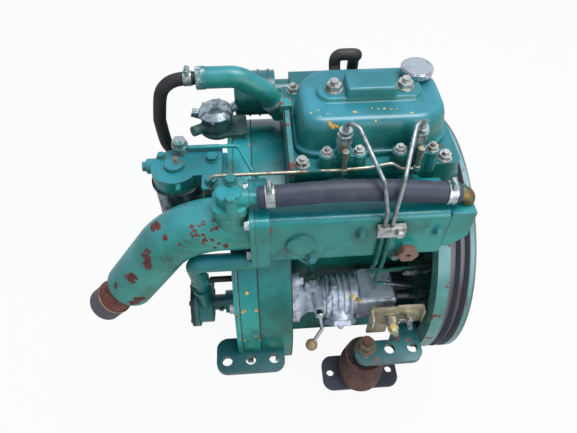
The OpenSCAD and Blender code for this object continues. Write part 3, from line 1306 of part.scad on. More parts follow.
// Mounting brackets, four in all
pad_y = [212, 251];
front_pad_x = [189, 300];
rear_pad_x = [-36, 74];
slot_r = 8.5;
web_x = [264, 300];
gusset_t = 9;
module half_brackets() {
    difference() {
        union() {
            slab_z(pad_z - pad_t, pad_z) {
                soft_rect(front_pad_x[0], -pad_y[1], front_pad_x[1], -pad_y[0], 2 * pad_t * 0.9);
                polygon([[web_x[0] - 2 * pad_t, -pad_y[0] - pad_t], [front_pad_x[1], -pad_y[0] - 2 * pad_t],
                    [front_pad_x[1], -block_hw - gap / 3], [web_x[0], -block_hw - gap / 3], [web_x[0], -pump_clear]]);
                soft_rect(rear_pad_x[0], -pad_y[1], rear_pad_x[1], -pad_y[0] + 2 * pad_t, 2 * pad_t * 0.9);
            }
            bar_x(web_x[0] + pad_t, web_x[0] + pad_t + gusset_t) polygon([[-pad_y[0], pad_z - eps], [-block_hw - gap / 3, pad_z - eps],
                [-block_hw - gap / 3, pad_z - 8 * pad_t], [-block_hw - 2 * pad_t, pad_z - 8 * pad_t], [-pad_y[0], pad_z - 2 * pad_t]]);
            bar_y(-block_hw - pad_t, -block_hw - gap / 3)
                soft_rect(web_x[0] - pad_t, pad_z - 8 * pad_t, web_x[1], pad_z, m8);
            for (x = [ring_len / 3, case_end - 3 * gusset_t]) bar_x(x, x + gusset_t)
                polygon([[-pad_y[1] + 2 * pad_t, pad_z - eps], [-pad_y[0] + 3 * pad_t, pad_z - eps],
                    [-pad_y[0] + 3 * pad_t, pad_z - 8 * pad_t], [-pad_y[0] + pad_t, pad_z - 8 * pad_t]]);
        }
        x_cyl(-gap / 3, ring_len, case_r + fit);
        x_cyl(-gap / 3, lip_w + gap, case_r + lip_h + fit);
        x_cyl(ring_len - eps, case_end + gap, case_r + fit);
        z_cyl(pad_z - 2 * pad_t, pad_z + eps, m16 + fit, mount_x, -mount_y);
        for (x = [mount_x + 38, mount_x + 76]) z_cyl(pad_z - 2 * pad_t, pad_z + eps, slot_r, x, -mount_y - 6);
        for (x = [rear_pad_x[0] + 17, rear_pad_x[0] + 55, rear_pad_x[0] + 93])
            z_cyl(pad_z - 2 * pad_t, pad_z + eps, slot_r, x, -rear_hole_y);
    }
    for (z = [pad_z - 3 * pad_t, pad_z - 6 * pad_t]) translate([web_x[1] - pad_t, -block_hw - pad_t, z])
        towards_near() hex_up(m8);
}
pump_clear = 180;
module brackets() color(teal) {
    half_brackets();
    mirror([0, 1, 0]) half_brackets();
}

// Rubber mounts under the front brackets
mount_base = pad_z - mount_h;
foot_t = 6;
foot_l = 133;
foot_w = 62;
cup_r = 38;
cup_top_r = 31;
cup_t = 4;
cup_top = pad_z - pad_t - 16;
boss_top_r = 20;
cup_h = cup_top - mount_base - foot_t;
module cup(inset, more) rotate_extrude() polygon([[0, 0], [cup_r - inset, 0], [cup_r - inset, cup_r],
    [cup_top_r - inset, cup_h], [cup_top_r - inset, cup_h + more], [0, cup_h + more]]);
module half_mount_shell() translate([mount_x, -mount_y, 0]) {
    difference() {
        slab_z(mount_base, mount_base + foot_t) soft_rect(-foot_l / 2, -foot_w / 2, foot_l / 2, foot_w / 2, foot_w * 0.3);
        for (s = [-1, 1]) z_cyl(mount_base - eps, mount_base + foot_t + eps, m12 + gap, s * base_pitch / 2);
        z_cyl(mount_base - eps, mount_base + foot_t + eps, boss_top_r);
    }
    translate([0, 0, mount_base + foot_t]) difference() {
        cup(0, 0);
        cup(cup_t, eps);
        z_cyl(-eps, eps, cup_r - cup_t);
    }
    z_cyl(cup_top - 2 * cup_t, pad_z - pad_t - gap / 3, boss_top_r);
    z_cyl(pad_z - pad_t - eps, pad_z + 3 * m16, m16 - gap);
}
module mount_shells() color(rust) {
    half_mount_shell();
    mirror([0, 1, 0]) half_mount_shell();
}
module half_rubber() translate([mount_x, -mount_y, mount_base + foot_t + fit]) difference() {
    cup(cup_t + gap, cup_t);
    z_cyl(cup_h - 2 * cup_t - fit, mount_h, boss_top_r + fit);
    z_cyl(-eps, cup_h - 2 * cup_t, boss_top_r / 2);
}
module mount_rubbers() color(black) {
    half_rubber();
    mirror([0, 1, 0]) half_rubber();
}

// Far side: intake manifold with its silencer, and the oil filter
in_y = 122;
in_hw = 26;
in_x = [104, 300];
in_z0 = 213;
in_z1 = 262;
silencer_r = 36;
silencer_len = 66;
oil_r = 38;
oil_len = 92;
oil_at = [176, -30];
module intake_manifold() color(teal) {
    z = (in_z0 + in_z1) / 2;
    difference() {
        union() {
            bar_x(in_x[0], in_x[1]) soft_rect(in_y - in_hw, in_z0, in_y + in_hw, in_z1, m16);
            for (x = cyl_xs) y_cyl(head_hw + gap / 3, in_y, port_flange, x, port_z);
            x_cyl(in_x[0] - 3 * m16 - eps, in_x[0] + eps, in_hw * 0.8, in_y, z);
            x_cyl(in_x[0] - 3 * m16 - silencer_len, in_x[0] - 3 * m16, silencer_r, in_y, z);
            for (i = [0:3]) x_cyl(in_x[0] - 3 * m16 - silencer_len * (1 + 2 * i) / 8 - m6, in_x[0] - 3 * m16 - silencer_len * (1 + 2 * i) / 8,
                silencer_r + m6 * 0.7, in_y, z);
        }
        bar_x(in_x[0] + m12, in_x[1] - m12) soft_rect(in_y - in_hw + m12, in_z0 + m12, in_y + in_hw - m12, in_z1 - m12, m8);
        x_cyl(in_x[0] - 3 * m16 - silencer_len - eps, in_x[0] + 2 * m12, in_hw * 0.8 - m8, in_y, z);
        for (x = cyl_xs) y_cyl(head_hw, in_y - in_hw + 2 * m12, port_r, x, port_z);
    }
}
module oil_filter() color(deep_teal) {
    y_cyl(block_hw + gap / 3, block_hw + m12, oil_r * 0.8, oil_at[0], oil_at[1]);
    translate([oil_at[0], block_hw + m12 - fit, oil_at[1]]) rotate([-90, 0, 0]) rotate_extrude() polygon([
        [0, 0], [oil_r, 0], [oil_r, oil_len - m16], [oil_r * 0.8, oil_len - m6], [oil_r * 0.5, oil_len], [0, oil_len]]);
}

// Lifting strap over the rear end of the head
strap_x = head_x0 + 1;
strap_t = 7;
strap_h = 13;
strap_drop = 36;
strap_head = 12;
strap_tip = 18;
module lifting_strap() color(teal) {
    strap_top = head_top + strap_h;
    bar_x(strap_x, strap_x + strap_t) polygon([[-head_hw - m12, strap_top - m12], [-head_hw, strap_top],
        [strap_tip, strap_top + strap_h], [strap_tip, head_top + gap / 3], [-head_hw - gap / 3, head_top + gap / 3],
        [-head_hw - gap / 3, head_top - strap_drop], [-head_hw - m12, head_top - strap_drop]]);
    box(strap_x - strap_head / 2, strap_x + strap_t + strap_head / 3, strap_tip - strap_head, strap_tip + strap_t,
        strap_top + strap_h / 2, strap_top + strap_h + m10);
}

rear_ring();
timing_case();
hex_bolts();
hex_nuts();
crankshaft();
crank_gear();
flywheel();
camshaft();
cam_gear();
idler_gear();
pump_gear();
crankcase();
cylinder_liners();
piston_1();
piston_2();
sump();
cylinder_head();
head_gasket();
rocker_cover();
filler_cap();
injector_1();
injector_2();
injector_clamps();
leak_off_pipe();
fuel_unions();
injection_pipe_1();
injection_pipe_2();
pipe_clamp();
exhaust_manifold();
manifold_cap();
hose_elbow();
exhaust_elbow();
exhaust_stub();
thermostat_cover();
coolant_hose();
hose_clamps();
coolant_tube();
water_pump();
water_pump_cover();
impeller();
filter_head();
filter_bowl();
fuel_line();
lift_pump();
priming_lever();
rear_pipe();
small_hoses();
injection_pump();
distributor_head();
control_bracket();
throttle_lever();
stop_lever();
throttle_spring();
hand_lever();
brackets();
mount_shells();
mount_rubbers();
intake_manifold();
oil_filter();
lifting_strap();
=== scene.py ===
import math

import bmesh
import bpy
import numpy as np
from mathutils import Matrix


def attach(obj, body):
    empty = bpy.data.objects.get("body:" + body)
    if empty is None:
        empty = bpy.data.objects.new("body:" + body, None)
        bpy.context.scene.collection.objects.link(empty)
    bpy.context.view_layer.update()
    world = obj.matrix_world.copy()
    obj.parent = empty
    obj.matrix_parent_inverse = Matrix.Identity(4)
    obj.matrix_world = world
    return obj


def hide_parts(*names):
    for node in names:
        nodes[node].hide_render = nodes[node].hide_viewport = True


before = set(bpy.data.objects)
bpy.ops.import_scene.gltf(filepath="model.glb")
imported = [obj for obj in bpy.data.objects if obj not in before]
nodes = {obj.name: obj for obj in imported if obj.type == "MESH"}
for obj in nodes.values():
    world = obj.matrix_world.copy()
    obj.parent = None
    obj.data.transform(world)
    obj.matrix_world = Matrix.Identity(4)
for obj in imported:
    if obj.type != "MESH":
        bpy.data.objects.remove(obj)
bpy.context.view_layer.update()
mm = 0.001
print("engine frame loaded with", len(nodes), "CAD nodes")

# Where the camera stands, from the point where the crank axis meets the rear face of the round housings
shot = {
    "place": (46, -579, 772),   # mm
    "yaw": 4.95,                # degrees towards the flywheel
    "down": 50.9,               # degrees below level
    "roll": -0.95,
    "focal": 514,               # in pixels of the frame
    "width": 577,               # pixels across the frame
    "sensor": 36,               # mm
    "nearest": 20,              # mm, nothing closer is drawn
}


# Puts a camera or lamp into the scene: its matrix has its three directions and its place, in metres, as columns
def stand(thing, right, up, back, place):
    columns = np.eye(4)
    columns[:3, 0], columns[:3, 1], columns[:3, 2], columns[:3, 3] = right, up, back, place
    bpy.context.scene.collection.objects.link(thing)
    thing.matrix_world = Matrix(columns.tolist())


# The view turns by yaw about the vertical, then downwards, then by roll about itself; each turn mixes two
# directions by the cosine and sine of its angle
def placeCamera(shot):
    yaw, down, roll = (math.radians(shot[key]) for key in ("yaw", "down", "roll"))
    up = np.array([0, 0, 1.0])
    ahead = np.array([math.sin(yaw), math.cos(yaw), 0])
    side = np.array([math.cos(yaw), -math.sin(yaw), 0])
    look = ahead * math.cos(down) - up * math.sin(down)
    low = -up * math.cos(down) - ahead * math.sin(down)
    right = side * math.cos(roll) + low * math.sin(roll)
    below = low * math.cos(roll) - side * math.sin(roll)
    lens = bpy.data.cameras.new("photoCamera")
    lens.sensor_fit, lens.sensor_width = "HORIZONTAL", shot["sensor"]
    lens.lens = shot["focal"] / shot["width"] * shot["sensor"]
    lens.clip_start = shot["nearest"] * mm
    camera = bpy.data.objects.new("photoCamera", lens)
    stand(camera, right, -below, -look, np.array(shot["place"]) * mm)
    bpy.context.scene.camera = camera


placeCamera(shot)
print("camera placed")


# One output of a shader tree; arithmetic on it adds Math nodes
class Wire:
    def __init__(self, tree, socket):
        self.tree, self.socket = tree, socket

    def add(self, kind, settings=None, inputs=None, out=0):     # settings first, then the sockets' values or links
        made = self.tree.nodes.new("ShaderNode" + kind)
        for key, value in (settings or {}).items():
            setattr(made, key, value)
        for key, value in (inputs or {}).items():
            if isinstance(value, Wire):
                self.tree.links.new(value.socket, made.inputs[key])
            else:
                made.inputs[key].default_value = value
        return Wire(self.tree, made.outputs[out])

    def maths(self, operation, a, b):
        return self.add("Math", {"operation": operation}, {0: a, 1: b})

    def __add__(self, other):
        return self.maths("ADD", self, other)

    def __radd__(self, other):
        return self.maths("ADD", other, self)

    def __sub__(self, other):
        return self.maths("SUBTRACT", self, other)

    def __rsub__(self, other):
        return self.maths("SUBTRACT", other, self)

    def __mul__(self, other):
        return self.maths("MULTIPLY", self, other)

    def __rmul__(self, other):
        return self.maths("MULTIPLY", other, self)

    def atLeast(self, other):
        return self.maths("MAXIMUM", self, other)

    def step(self, low, high):      # 0 at low, 1 at high, smooth between; low may be the larger
        return self.add("MapRange", {"interpolation_type": "SMOOTHSTEP"},
                        {"Value": self, "From Min": low, "From Max": high})

    def vector(self, operation, other=(0, 0, 0), out=0):    # out is 1 where the answer is one number
        return self.add("VectorMath", {"operation": operation}, {0: self, 1: other}, out)

    def distanceTo(self, x, y, z):  # in metres, to a point given in mm
        return self.vector("DISTANCE", (x * mm, y * mm, z * mm), out=1)

    def part(self, axis):           # one coordinate of a vector
        return self.add("SeparateXYZ", {}, {0: self}, out="XYZ".index(axis))

    def noise(self, scale, detail, rough, seed=0.0):    # scale is in clouds to the metre, seed moves them
        moved = self.vector("ADD", (seed, seed * 0.7, -seed))
        return self.add("TexNoise", {}, {"Vector": moved, "Scale": scale, "Detail": detail, "Roughness": rough})

    def between(self, *ends):       # the first colour where the mask is 0, the second where it is 1
        a, b = (rgb(*end) if isinstance(end, tuple) and len(end) == 3 else end for end in ends)
        return self.add("Mix", {"data_type": "RGBA"}, {0: self, 6: a, 7: b}, out=2)


# A screen colour, 0 to 255, as the linear colour that shaders use: a straight line near black, then a power of 2.4
def rgb(red, green, blue):
    screen = np.array([red, green, blue]) / 255
    linear = np.where(screen < 0.04045, screen / 12.92, ((screen + 0.055) / 1.055) ** 2.4)
    return (*linear.tolist(), 1.0)


# A material, its tree and shader, and the wire that says where on the object a point is, in metres
def startMaterial(name):
    made = bpy.data.materials.new(name)
    made.use_nodes = True
    tree = made.node_tree
    place = Wire(tree, tree.nodes.new("ShaderNodeTexCoord").outputs["Object"])
    return made, tree, tree.nodes["Principled BSDF"], place


shaderSockets = {"colour": "Base Color", "rough": "Roughness", "metal": "Metallic", "coat": "Coat Weight",
                 "normal": "Normal"}


# Each wire is linked to its socket of the shader, and each plain value is written on it
def join(tree, shader, **wires):
    for name, wire in wires.items():
        socket = shader.inputs[shaderSockets[name]]
        if isinstance(wire, Wire):
            tree.links.new(wire.socket, socket)
        else:
            socket.default_value = wire


# The direction a face looks in, before any rounding or bump
def flatNormal(place):
    return place.add("NewGeometry", out=1)


# The direction a face looks in, turned towards its neighbour's within radius mm of an edge
def roundEdges(place, radius):
    return place.add("Bevel", {"samples": 4}, {"Radius": radius * mm})


# Above 0 on edges: 1 less the dot product of the rounded and the flat direction
def edgeMask(place, width):
    return 1 - roundEdges(place, width).vector("DOT_PRODUCT", flatNormal(place), out=1)


# Bump from a height wire on top of the rounded edges: cast is its strength, relief its depth in mm
def bumped(place, height, look):
    return place.add("Bump", {}, {"Strength": look["cast"], "Distance": look["relief"] * mm, "Height": height,
                                  "Normal": roundEdges(place, look["round"])})


# The largest of several masks
def anyOf(masks):
    total = masks[0]
    for mask in masks[1:]:
        total = total.atLeast(mask)
    return total


# 1 inside a ball round each (x, y, z, size), in mm; noise moves the ball's edge in and out by a share of its size
def spots(place, centres):
    raggedness, softEdge, scale = 2.4, 0.86, 200
    ragged = place.noise(scale, 3.0, 0.65) - 0.5
    return anyOf([(place.distanceTo(x, y, z) + ragged * (size * mm * raggedness)).step(size * mm, size * mm * softEdge)
                  for x, y, z, size in centres])


# 1 between each pair of stations along an axis, in mm; a ball limits it to what is near a point, and outside to
# what is further than that from the crank axis
def bands(place, look):
    along, blur, ballBlur, outsideBlur = place.part(look["axis"]), 0.4, 0.5, 1
    total = anyOf([along.step((low - blur) * mm, (low + blur) * mm) * along.step((high + blur) * mm, (high - blur) * mm)
                   for low, high in look["between"]])
    if "ball" in look:
        x, y, z, size = look["ball"]
        total = total * place.distanceTo(x, y, z).step(size * mm, (size - ballBlur) * mm)
    if "outside" in look:
        fromCrank = place.vector("MULTIPLY", (0, 1, 1)).vector("LENGTH", out=1)
        total = total * fromCrank.step((look["outside"] - outsideBlur) * mm, look["outside"] * mm)
    return total


# What an enamel has unless its own dictionary says otherwise: a noise is its clouds to the metre, detail, roughness
# and seed, a span is where a pattern begins and where it is full, and edge and round are in mm
enamelBase = {
    "driftNoise": (9, 3.0, 0.6, 3.1), "driftSpan": (0.36, 0.66), "driftRough": 0.16,
    "sideShadeSpan": (0.15, 0.95), "side": (0.82, 0.98, 0.72),     # painted shade: what a sideways face keeps of red, green and blue, so upward faces look lit by the sky
    "grimeNoise": (24, 5.0, 0.65, 8.2), "grimeSpan": (0.50, 0.74),
    "downwardDarkening": 0.10, "oily": 0.12,                          # less of the dirt colour on upward faces and more on downward ones, so downward faces come out darker; below 0, grime shines
    "speckNoise": (330, 2.0, 0.5, 5.0), "speckSpan": (0.70, 0.76), "specks": 0.6, "speckColour": (18, 26, 26),
    "raggedNoise": (150, 4.0, 0.62, 1.7), "raggedWear": 0.55, "patchScale": 22, "seed": 2.0, "patchWear": 0.75,
    "edge": 1.6, "chipSpan": 0.012, "chipRough": 0.35, "chipDepth": 0.8, "chipInBand": 0.4,
    "underNoise": (70, 2.0, 0.5, 6.0), "underSpan": (0.44, 0.56),
    "spotNoise": (120, 2.0, 0.5, 6.0), "spotSpan": (0.40, 0.62),
    "grainNoise": (420, 3.0, 0.6), "grain": 0.6, "lumpNoise": (90, 2.0, 0.5, 4.0), "lumps": 1.2,
    "relief": 0.6, "round": 1.0, "coatRough": 0.22, "specular": 0.4,
}


# Brushed-on engine enamel over cast iron: the tone drifts at random, faces that look sideways get a painted shade,
# darker and greener, while upward faces keep the colour as painted sky light; grime and specks lie on it, and it is
# chipped where ragged noise, patches and edges add up to more than chipFrom
def paintedIron(name, look):
    look = {**enamelBase, **look}
    made, tree, shader, place = startMaterial(name)
    drift = place.noise(*look["driftNoise"])
    colour = drift.step(*look["driftSpan"]).between(look["paint"], look["pale"])
    up = flatNormal(place).part("Z")
    # painted light and shade: sideways faces are multiplied by side into a darker, greener painted shade, upward faces
    # keep the full colour as if lit by the sky
    colour = up.step(*look["sideShadeSpan"]).between(colour.vector("MULTIPLY", look["side"]), colour)
    # darker towards downward faces: the grime noise is raised where a face looks down and lowered where it looks up
    grime = (place.noise(*look["grimeNoise"]) - up * look["downwardDarkening"]).step(*look["grimeSpan"]) * look["grime"]
    specks = place.noise(*look["speckNoise"]).step(*look["speckSpan"]) * look["specks"]
    colour = specks.between(grime.between(colour, look["dirt"]), look["speckColour"])
    ragged = place.noise(*look["raggedNoise"]) * look["raggedWear"]
    patches = place.noise(look["patchScale"], 3.0, 0.6, look["seed"]) * look["patchWear"]
    wear = ragged + patches + edgeMask(place, look["edge"]) * look["edgeWear"]
    chips = wear.step(look["chipFrom"], look["chipFrom"] + look["chipSpan"])
    under = place.noise(*look["underNoise"]).step(*look["underSpan"])
    colour = chips.between(colour, under.between(look["chip"], look["chipTwo"]))
    if "bands" in look:
        band = bands(place, look["bands"]) * (1 - chips * look["chipInBand"])
        colour = band.between(colour, look["bands"]["colour"])
    if "spots" in look:
        marks = spots(place, look["spots"])
        tone = place.noise(*look["spotNoise"]).step(*look["spotSpan"])
        colour = marks.between(colour, tone.between(look["spotColour"], look["spotTwo"]))
        chips = chips.atLeast(marks)
    rough = look["rough"] + (drift - 0.5) * look["driftRough"] + chips * look["chipRough"] + grime * look["oily"]
    grain, lumps = place.noise(*look["grainNoise"]), place.noise(*look["lumpNoise"])
    height = grain * look["grain"] + lumps * look["lumps"] - chips * look["chipDepth"]
    shader.inputs["Coat Roughness"].default_value = look["coatRough"]
    shader.inputs["Specular IOR Level"].default_value = look["specular"]
    join(tree, shader, colour=colour, rough=rough, metal=0.0, coat=(1 - chips) * look["coat"],
         normal=bumped(place, height, look))
    return made


metalBase = {
    "tarnishNoise": (60, 4.0, 0.6, 2.3), "tarnishSpan": (0.42, 0.70), "tarnishRough": 0.20,
    "overScale": 90, "overSpan": 0.05, "overRough": 0.25,
    "grainNoise": (500, 3.0, 0.6), "lumpNoise": (120, 2.0, 0.5, 4.0), "lumps": 0.8,
    "cast": 0.12, "relief": 0.5, "round": 0.5, "shine": 1.0,
}


# Machined or plated metal: tarnish in patches, with paint or rust left over it where a second noise is above
# overFrom, and neither shiny nor smooth where it is covered
def bareMetal(name, look):
    look = {**metalBase, **look}
    made, tree, shader, place = startMaterial(name)
    tarnish = place.noise(*look["tarnishNoise"]).step(*look["tarnishSpan"])
    covered = place.noise(look["overScale"], 3.0, 0.6, 7.7).step(look["overFrom"], look["overFrom"] + look["overSpan"])
    colour = covered.between(tarnish.between(look["metal"], look["tarnish"]), look["over"])
    if "bands" in look:
        painted = bands(place, look["bands"])
        colour = painted.between(colour, tarnish.between(look["bands"]["colour"], look["bands"]["dark"]))
        covered = covered.atLeast(painted)
    if "spots" in look:
        dots = spots(place, look["spots"])
        colour = dots.between(colour, look["spotColour"])
        covered = covered.atLeast(dots)
    rough = look["rough"] + tarnish * look["tarnishRough"] + covered * look["overRough"]
    height = place.noise(*look["grainNoise"]) + place.noise(*look["lumpNoise"]) * look["lumps"]
    join(tree, shader, colour=colour, rough=rough, metal=(1 - covered) * look["shine"],
         normal=bumped(place, height, look))
    return made


rustBase = {
    "patchNoise": (28, 5.0, 0.65, 1.0), "patchSpan": (0.36, 0.66),
    "brightNoise": (140, 4.0, 0.6, 5.5), "brightSpan": (0.56, 0.74),
    "rough": 0.72, "roughNoise": (60, 3.0, 0.55), "uneven": 0.2,
    "pitNoise": (220, 5.0, 0.7), "grainNoise": (700, 2.0, 0.5, 3.0), "grain": 0.4,
    "cast": 0.5, "relief": 0.9, "round": 0.8,
}


# Bare iron gone brown: dark and light rust in wide patches, bright rust in small ones; tip gives the iron inside
# a ball its own colour
def rustyIron(name, look):
    look = {**rustBase, **look}
    made, tree, shader, place = startMaterial(name)
    colour = place.noise(*look["patchNoise"]).step(*look["patchSpan"]).between(look["deep"], look["pale"])
    colour = place.noise(*look["brightNoise"]).step(*look["brightSpan"]).between(colour, look["bright"])
    if "bands" in look:
        colour = bands(place, look["bands"]).between(colour, look["bands"]["colour"])
    if "tip" in look:
        x, y, z, size = look["tip"]
        colour = place.distanceTo(x, y, z).step((size + 1) * mm, size * mm).between(colour, look["tipColour"])
    height = place.noise(*look["pitNoise"]) + place.noise(*look["grainNoise"]) * look["grain"]
    join(tree, shader, colour=colour, rough=look["rough"] + place.noise(*look["roughNoise"]) * look["uneven"],
         metal=0.0, normal=bumped(place, height, look))
    return made


rubberBase = {
    "dustNoise": (30, 4.0, 0.6, 4.4), "dustSpan": (0.48, 0.74), "dustRough": 0.15,
    "grainNoise": (620, 3.0, 0.6), "lumpNoise": (80, 2.0, 0.5), "lumps": 0.8, "relief": 0.5, "round": 0.6,
}


# Rubber or moulded plastic: dust in wide patches over an even colour, and a fine grain
def rubberOrPlastic(name, look):
    look = {**rubberBase, **look}
    made, tree, shader, place = startMaterial(name)
    dust = place.noise(*look["dustNoise"]).step(*look["dustSpan"]) * look["dust"]
    height = place.noise(*look["grainNoise"]) + place.noise(*look["lumpNoise"]) * look["lumps"]
    join(tree, shader, colour=dust.between(look["base"], look["dusty"]), rough=look["rough"] + dust * look["dustRough"],
         metal=0.0, normal=bumped(place, height, look))
    return made


# Colours are screen colours; spots, bands, balls and tips are places on the engine, in mm
enamels = {
    "coverEnamel": {"paint": (14, 96, 104), "pale": (38, 122, 138), "dirt": (8, 58, 58), "grime": 0.45,
        "chip": (216, 160, 70), "chipTwo": (188, 142, 78), "chipFrom": 0.855, "edgeWear": 0.35,
        "rough": 0.38, "coat": 0.35, "cast": 0.16, "seed": 4.0, "round": 2.0,
        "spots": [(133, -49, 323, 2.6), (139, -55, 322, 2.0), (145, -58, 320, 3.0), (131, -36, 326, 1.5),
            (149, -62, 318, 3.4), (153, -65, 314, 2.2), (143, -44, 325, 1.2), (150, -51, 323, 2.0),
            (180, -43, 326, 2.4), (204, -36, 326, 1.3), (212, -38, 326, 1.2), (221, -38, 326, 1.6),
            (230, -40, 326, 2.0), (238, -39, 326, 1.4), (206, -58, 322, 1.4), (256, -49, 325, 1.6),
            (121, -40, 325, 1.6), (125, -46, 323, 2.2), (118, -52, 318, 1.4), (158, -70, 306, 1.6),
            (196, -62, 320, 1.2), (201, -60, 321, 1.0), (262, -52, 324, 1.2), (154, -60, 317, 2.6)],
        "spotColour": (220, 162, 66), "spotTwo": (176, 116, 56)},
    "headEnamel": {"paint": (4, 89, 94), "pale": (18, 121, 130), "dirt": (4, 34, 34), "grime": 0.9,
        "chip": (104, 60, 50), "chipTwo": (74, 74, 68), "chipFrom": 0.84, "edgeWear": 0.6,
        "rough": 0.36, "coat": 0.4, "cast": 0.4, "round": 1.6},
    "ringEnamel": {"paint": (14, 118, 124), "pale": (38, 148, 156), "dirt": (8, 68, 62), "grime": 0.6,
        "chip": (212, 156, 74), "chipTwo": (104, 66, 50), "chipFrom": 0.80, "edgeWear": 0.8,
        "rough": 0.38, "coat": 0.3, "cast": 0.22, "seed": 6.0, "patchScale": 30,
        "spots": [(30, -212, 30, 4), (36, -215, 18, 3), (12, -214, 20, 3.5), (20, -186, 112, 2.5),
            (33, -200, 84, 3), (34, 20, 217, 3), (33, -28, 216, 3.4), (32, 60, 210, 2.4)],
        "spotColour": (218, 164, 84), "spotTwo": (150, 110, 70)},
    "caseEnamel": {"paint": (6, 92, 92), "pale": (18, 122, 126), "dirt": (0, 46, 38), "grime": 0.95,
        "chip": (66, 62, 52), "chipTwo": (84, 56, 44), "chipFrom": 0.87, "edgeWear": 0.5,
        "rough": 0.34, "coat": 0.30, "cast": 0.6, "oily": -0.12, "driftNoise": (16, 3.0, 0.6, 3.1),
        # painted shade: the case's sideways faces keep half their red, most of their green and half their blue, much
        # darker than its tops
        "side": (0.5, 0.80, 0.55)},
    "manifoldEnamel": {"paint": (4, 106, 110), "pale": (20, 136, 144), "dirt": (2, 54, 46), "grime": 0.75,
        "chip": (116, 64, 48), "chipTwo": (150, 84, 52), "chipFrom": 0.845, "edgeWear": 0.6,
        "rough": 0.34, "coat": 0.45, "cast": 0.42, "seed": 1.2, "round": 4.5,
        "bands": {"axis": "Y", "between": [(-210, -176.6)], "colour": (112, 78, 62), "ball": (243, -186, 187, 19)},
        "spots": [(57, -170, 246, 5), (60, -174, 238, 3), (60, -176, 214, 3), (34, -170, 200, 4)],
        "spotColour": (140, 74, 48), "spotTwo": (96, 62, 46)},
    "elbowEnamel": {"paint": (28, 112, 114), "pale": (58, 142, 146), "dirt": (40, 72, 58), "grime": 0.75,
        "chip": (104, 52, 42), "chipTwo": (84, 44, 40), "chipFrom": 0.80, "edgeWear": 0.5,
        "rough": 0.40, "coat": 0.25, "cast": 0.3, "seed": 9.0, "patchScale": 17,
        "spots": [(-110, -168, 190, 9), (-113, -172, 178, 8), (-106, -162, 200, 7), (-97, -142, 226, 9),
            (-90, -147, 230, 6), (-81, -164, 228, 5), (-144, -168, 142, 9), (-139, -170, 150, 7),
            (-140, -176, 95, 10), (-150, -176, 88, 9), (-133, -178, 86, 7), (-168, -160, 112, 8), (-54, -126, 248, 3),
            (-40, -168, 244, 3.4), (-30, -172, 240, 2.5), (-62, -172, 224, 3), (-128, -130, 182, 5),
            (-134, -138, 172, 4), (-118, -126, 200, 6), (-156, -132, 140, 6), (-150, -128, 150, 4),
            (-10, -176, 226, 4), (-2, -178, 220, 5), (-16, -178, 216, 3), (-22, -122, 262, 2), (-14, -130, 263, 2.4),
            (-31, -128, 260, 2)],
        "spotColour": (104, 54, 44), "spotTwo": (76, 40, 38)},
    "strapEnamel": {"paint": (14, 106, 110), "pale": (34, 132, 137), "dirt": (16, 54, 48), "grime": 0.45,
        "chip": (122, 58, 54), "chipTwo": (98, 48, 46), "chipFrom": 0.72, "edgeWear": 1.0,
        "rough": 0.45, "coat": 0.2, "cast": 0.3, "edge": 2.4},
    "wheelEnamel": {"paint": (70, 124, 128), "pale": (100, 150, 156), "dirt": (28, 60, 60), "grime": 0.5,
        "chip": (112, 60, 50), "chipTwo": (92, 52, 46), "chipFrom": 0.775, "edgeWear": 0.7,
        "rough": 0.42, "coat": 0.3, "cast": 0.22, "seed": 3.3,
        "bands": {"axis": "X", "between": [(325.5, 356.5), (362, 374.4)], "outside": 206, "colour": (84, 84, 90)}},
    "pumpEnamel": {"paint": (8, 92, 98), "pale": (26, 120, 130), "dirt": (6, 44, 46), "grime": 0.85,
        "chip": (120, 92, 66), "chipTwo": (70, 62, 52), "chipFrom": 0.80, "edgeWear": 0.7,
        "rough": 0.36, "coat": 0.35, "cast": 0.35, "seed": 2.7},
    "bracketEnamel": {"paint": (0, 70, 74), "pale": (12, 94, 100), "dirt": (2, 38, 38), "grime": 0.55,
        "chip": (110, 78, 76), "chipTwo": (88, 60, 58), "chipFrom": 0.83, "edgeWear": 0.8,
        "rough": 0.36, "coat": 0.35, "cast": 0.25, "seed": 7.0,
        "spots": [(205, -240, -20, 4), (222, -246, -20, 5), (262, -212, -20, 5), (282, -215, -20, 4),
            (245, -214, -20, 3)],
        "spotColour": (112, 84, 84), "spotTwo": (90, 62, 60)},
    "rearPipeEnamel": {"paint": (24, 108, 113), "pale": (42, 132, 137), "dirt": (18, 68, 56), "grime": 0.7,
        "chip": (150, 160, 160), "chipTwo": (60, 70, 70), "chipFrom": 0.86, "edgeWear": 0.6,
        "rough": 0.42, "coat": 0.2, "cast": 0.3, "seed": 5.0,
        "spots": [(-36, 50, 330, 7), (-34, 62, 332, 6), (-30, 45, 322, 5), (-36, 44, 314, 7), (-28, 55, 331, 4),
            (-37, 70, 331, 5)],
        "spotColour": (150, 166, 172), "spotTwo": (84, 110, 112)},
    "pipeEnamel": {"paint": (18, 112, 115), "pale": (36, 136, 139), "dirt": (12, 70, 60), "grime": 0.5,
        "chip": (120, 122, 114), "chipTwo": (92, 82, 70), "chipFrom": 0.84, "edgeWear": 0.5,
        "rough": 0.40, "coat": 0.25, "cast": 0.2, "seed": 5.0},
}
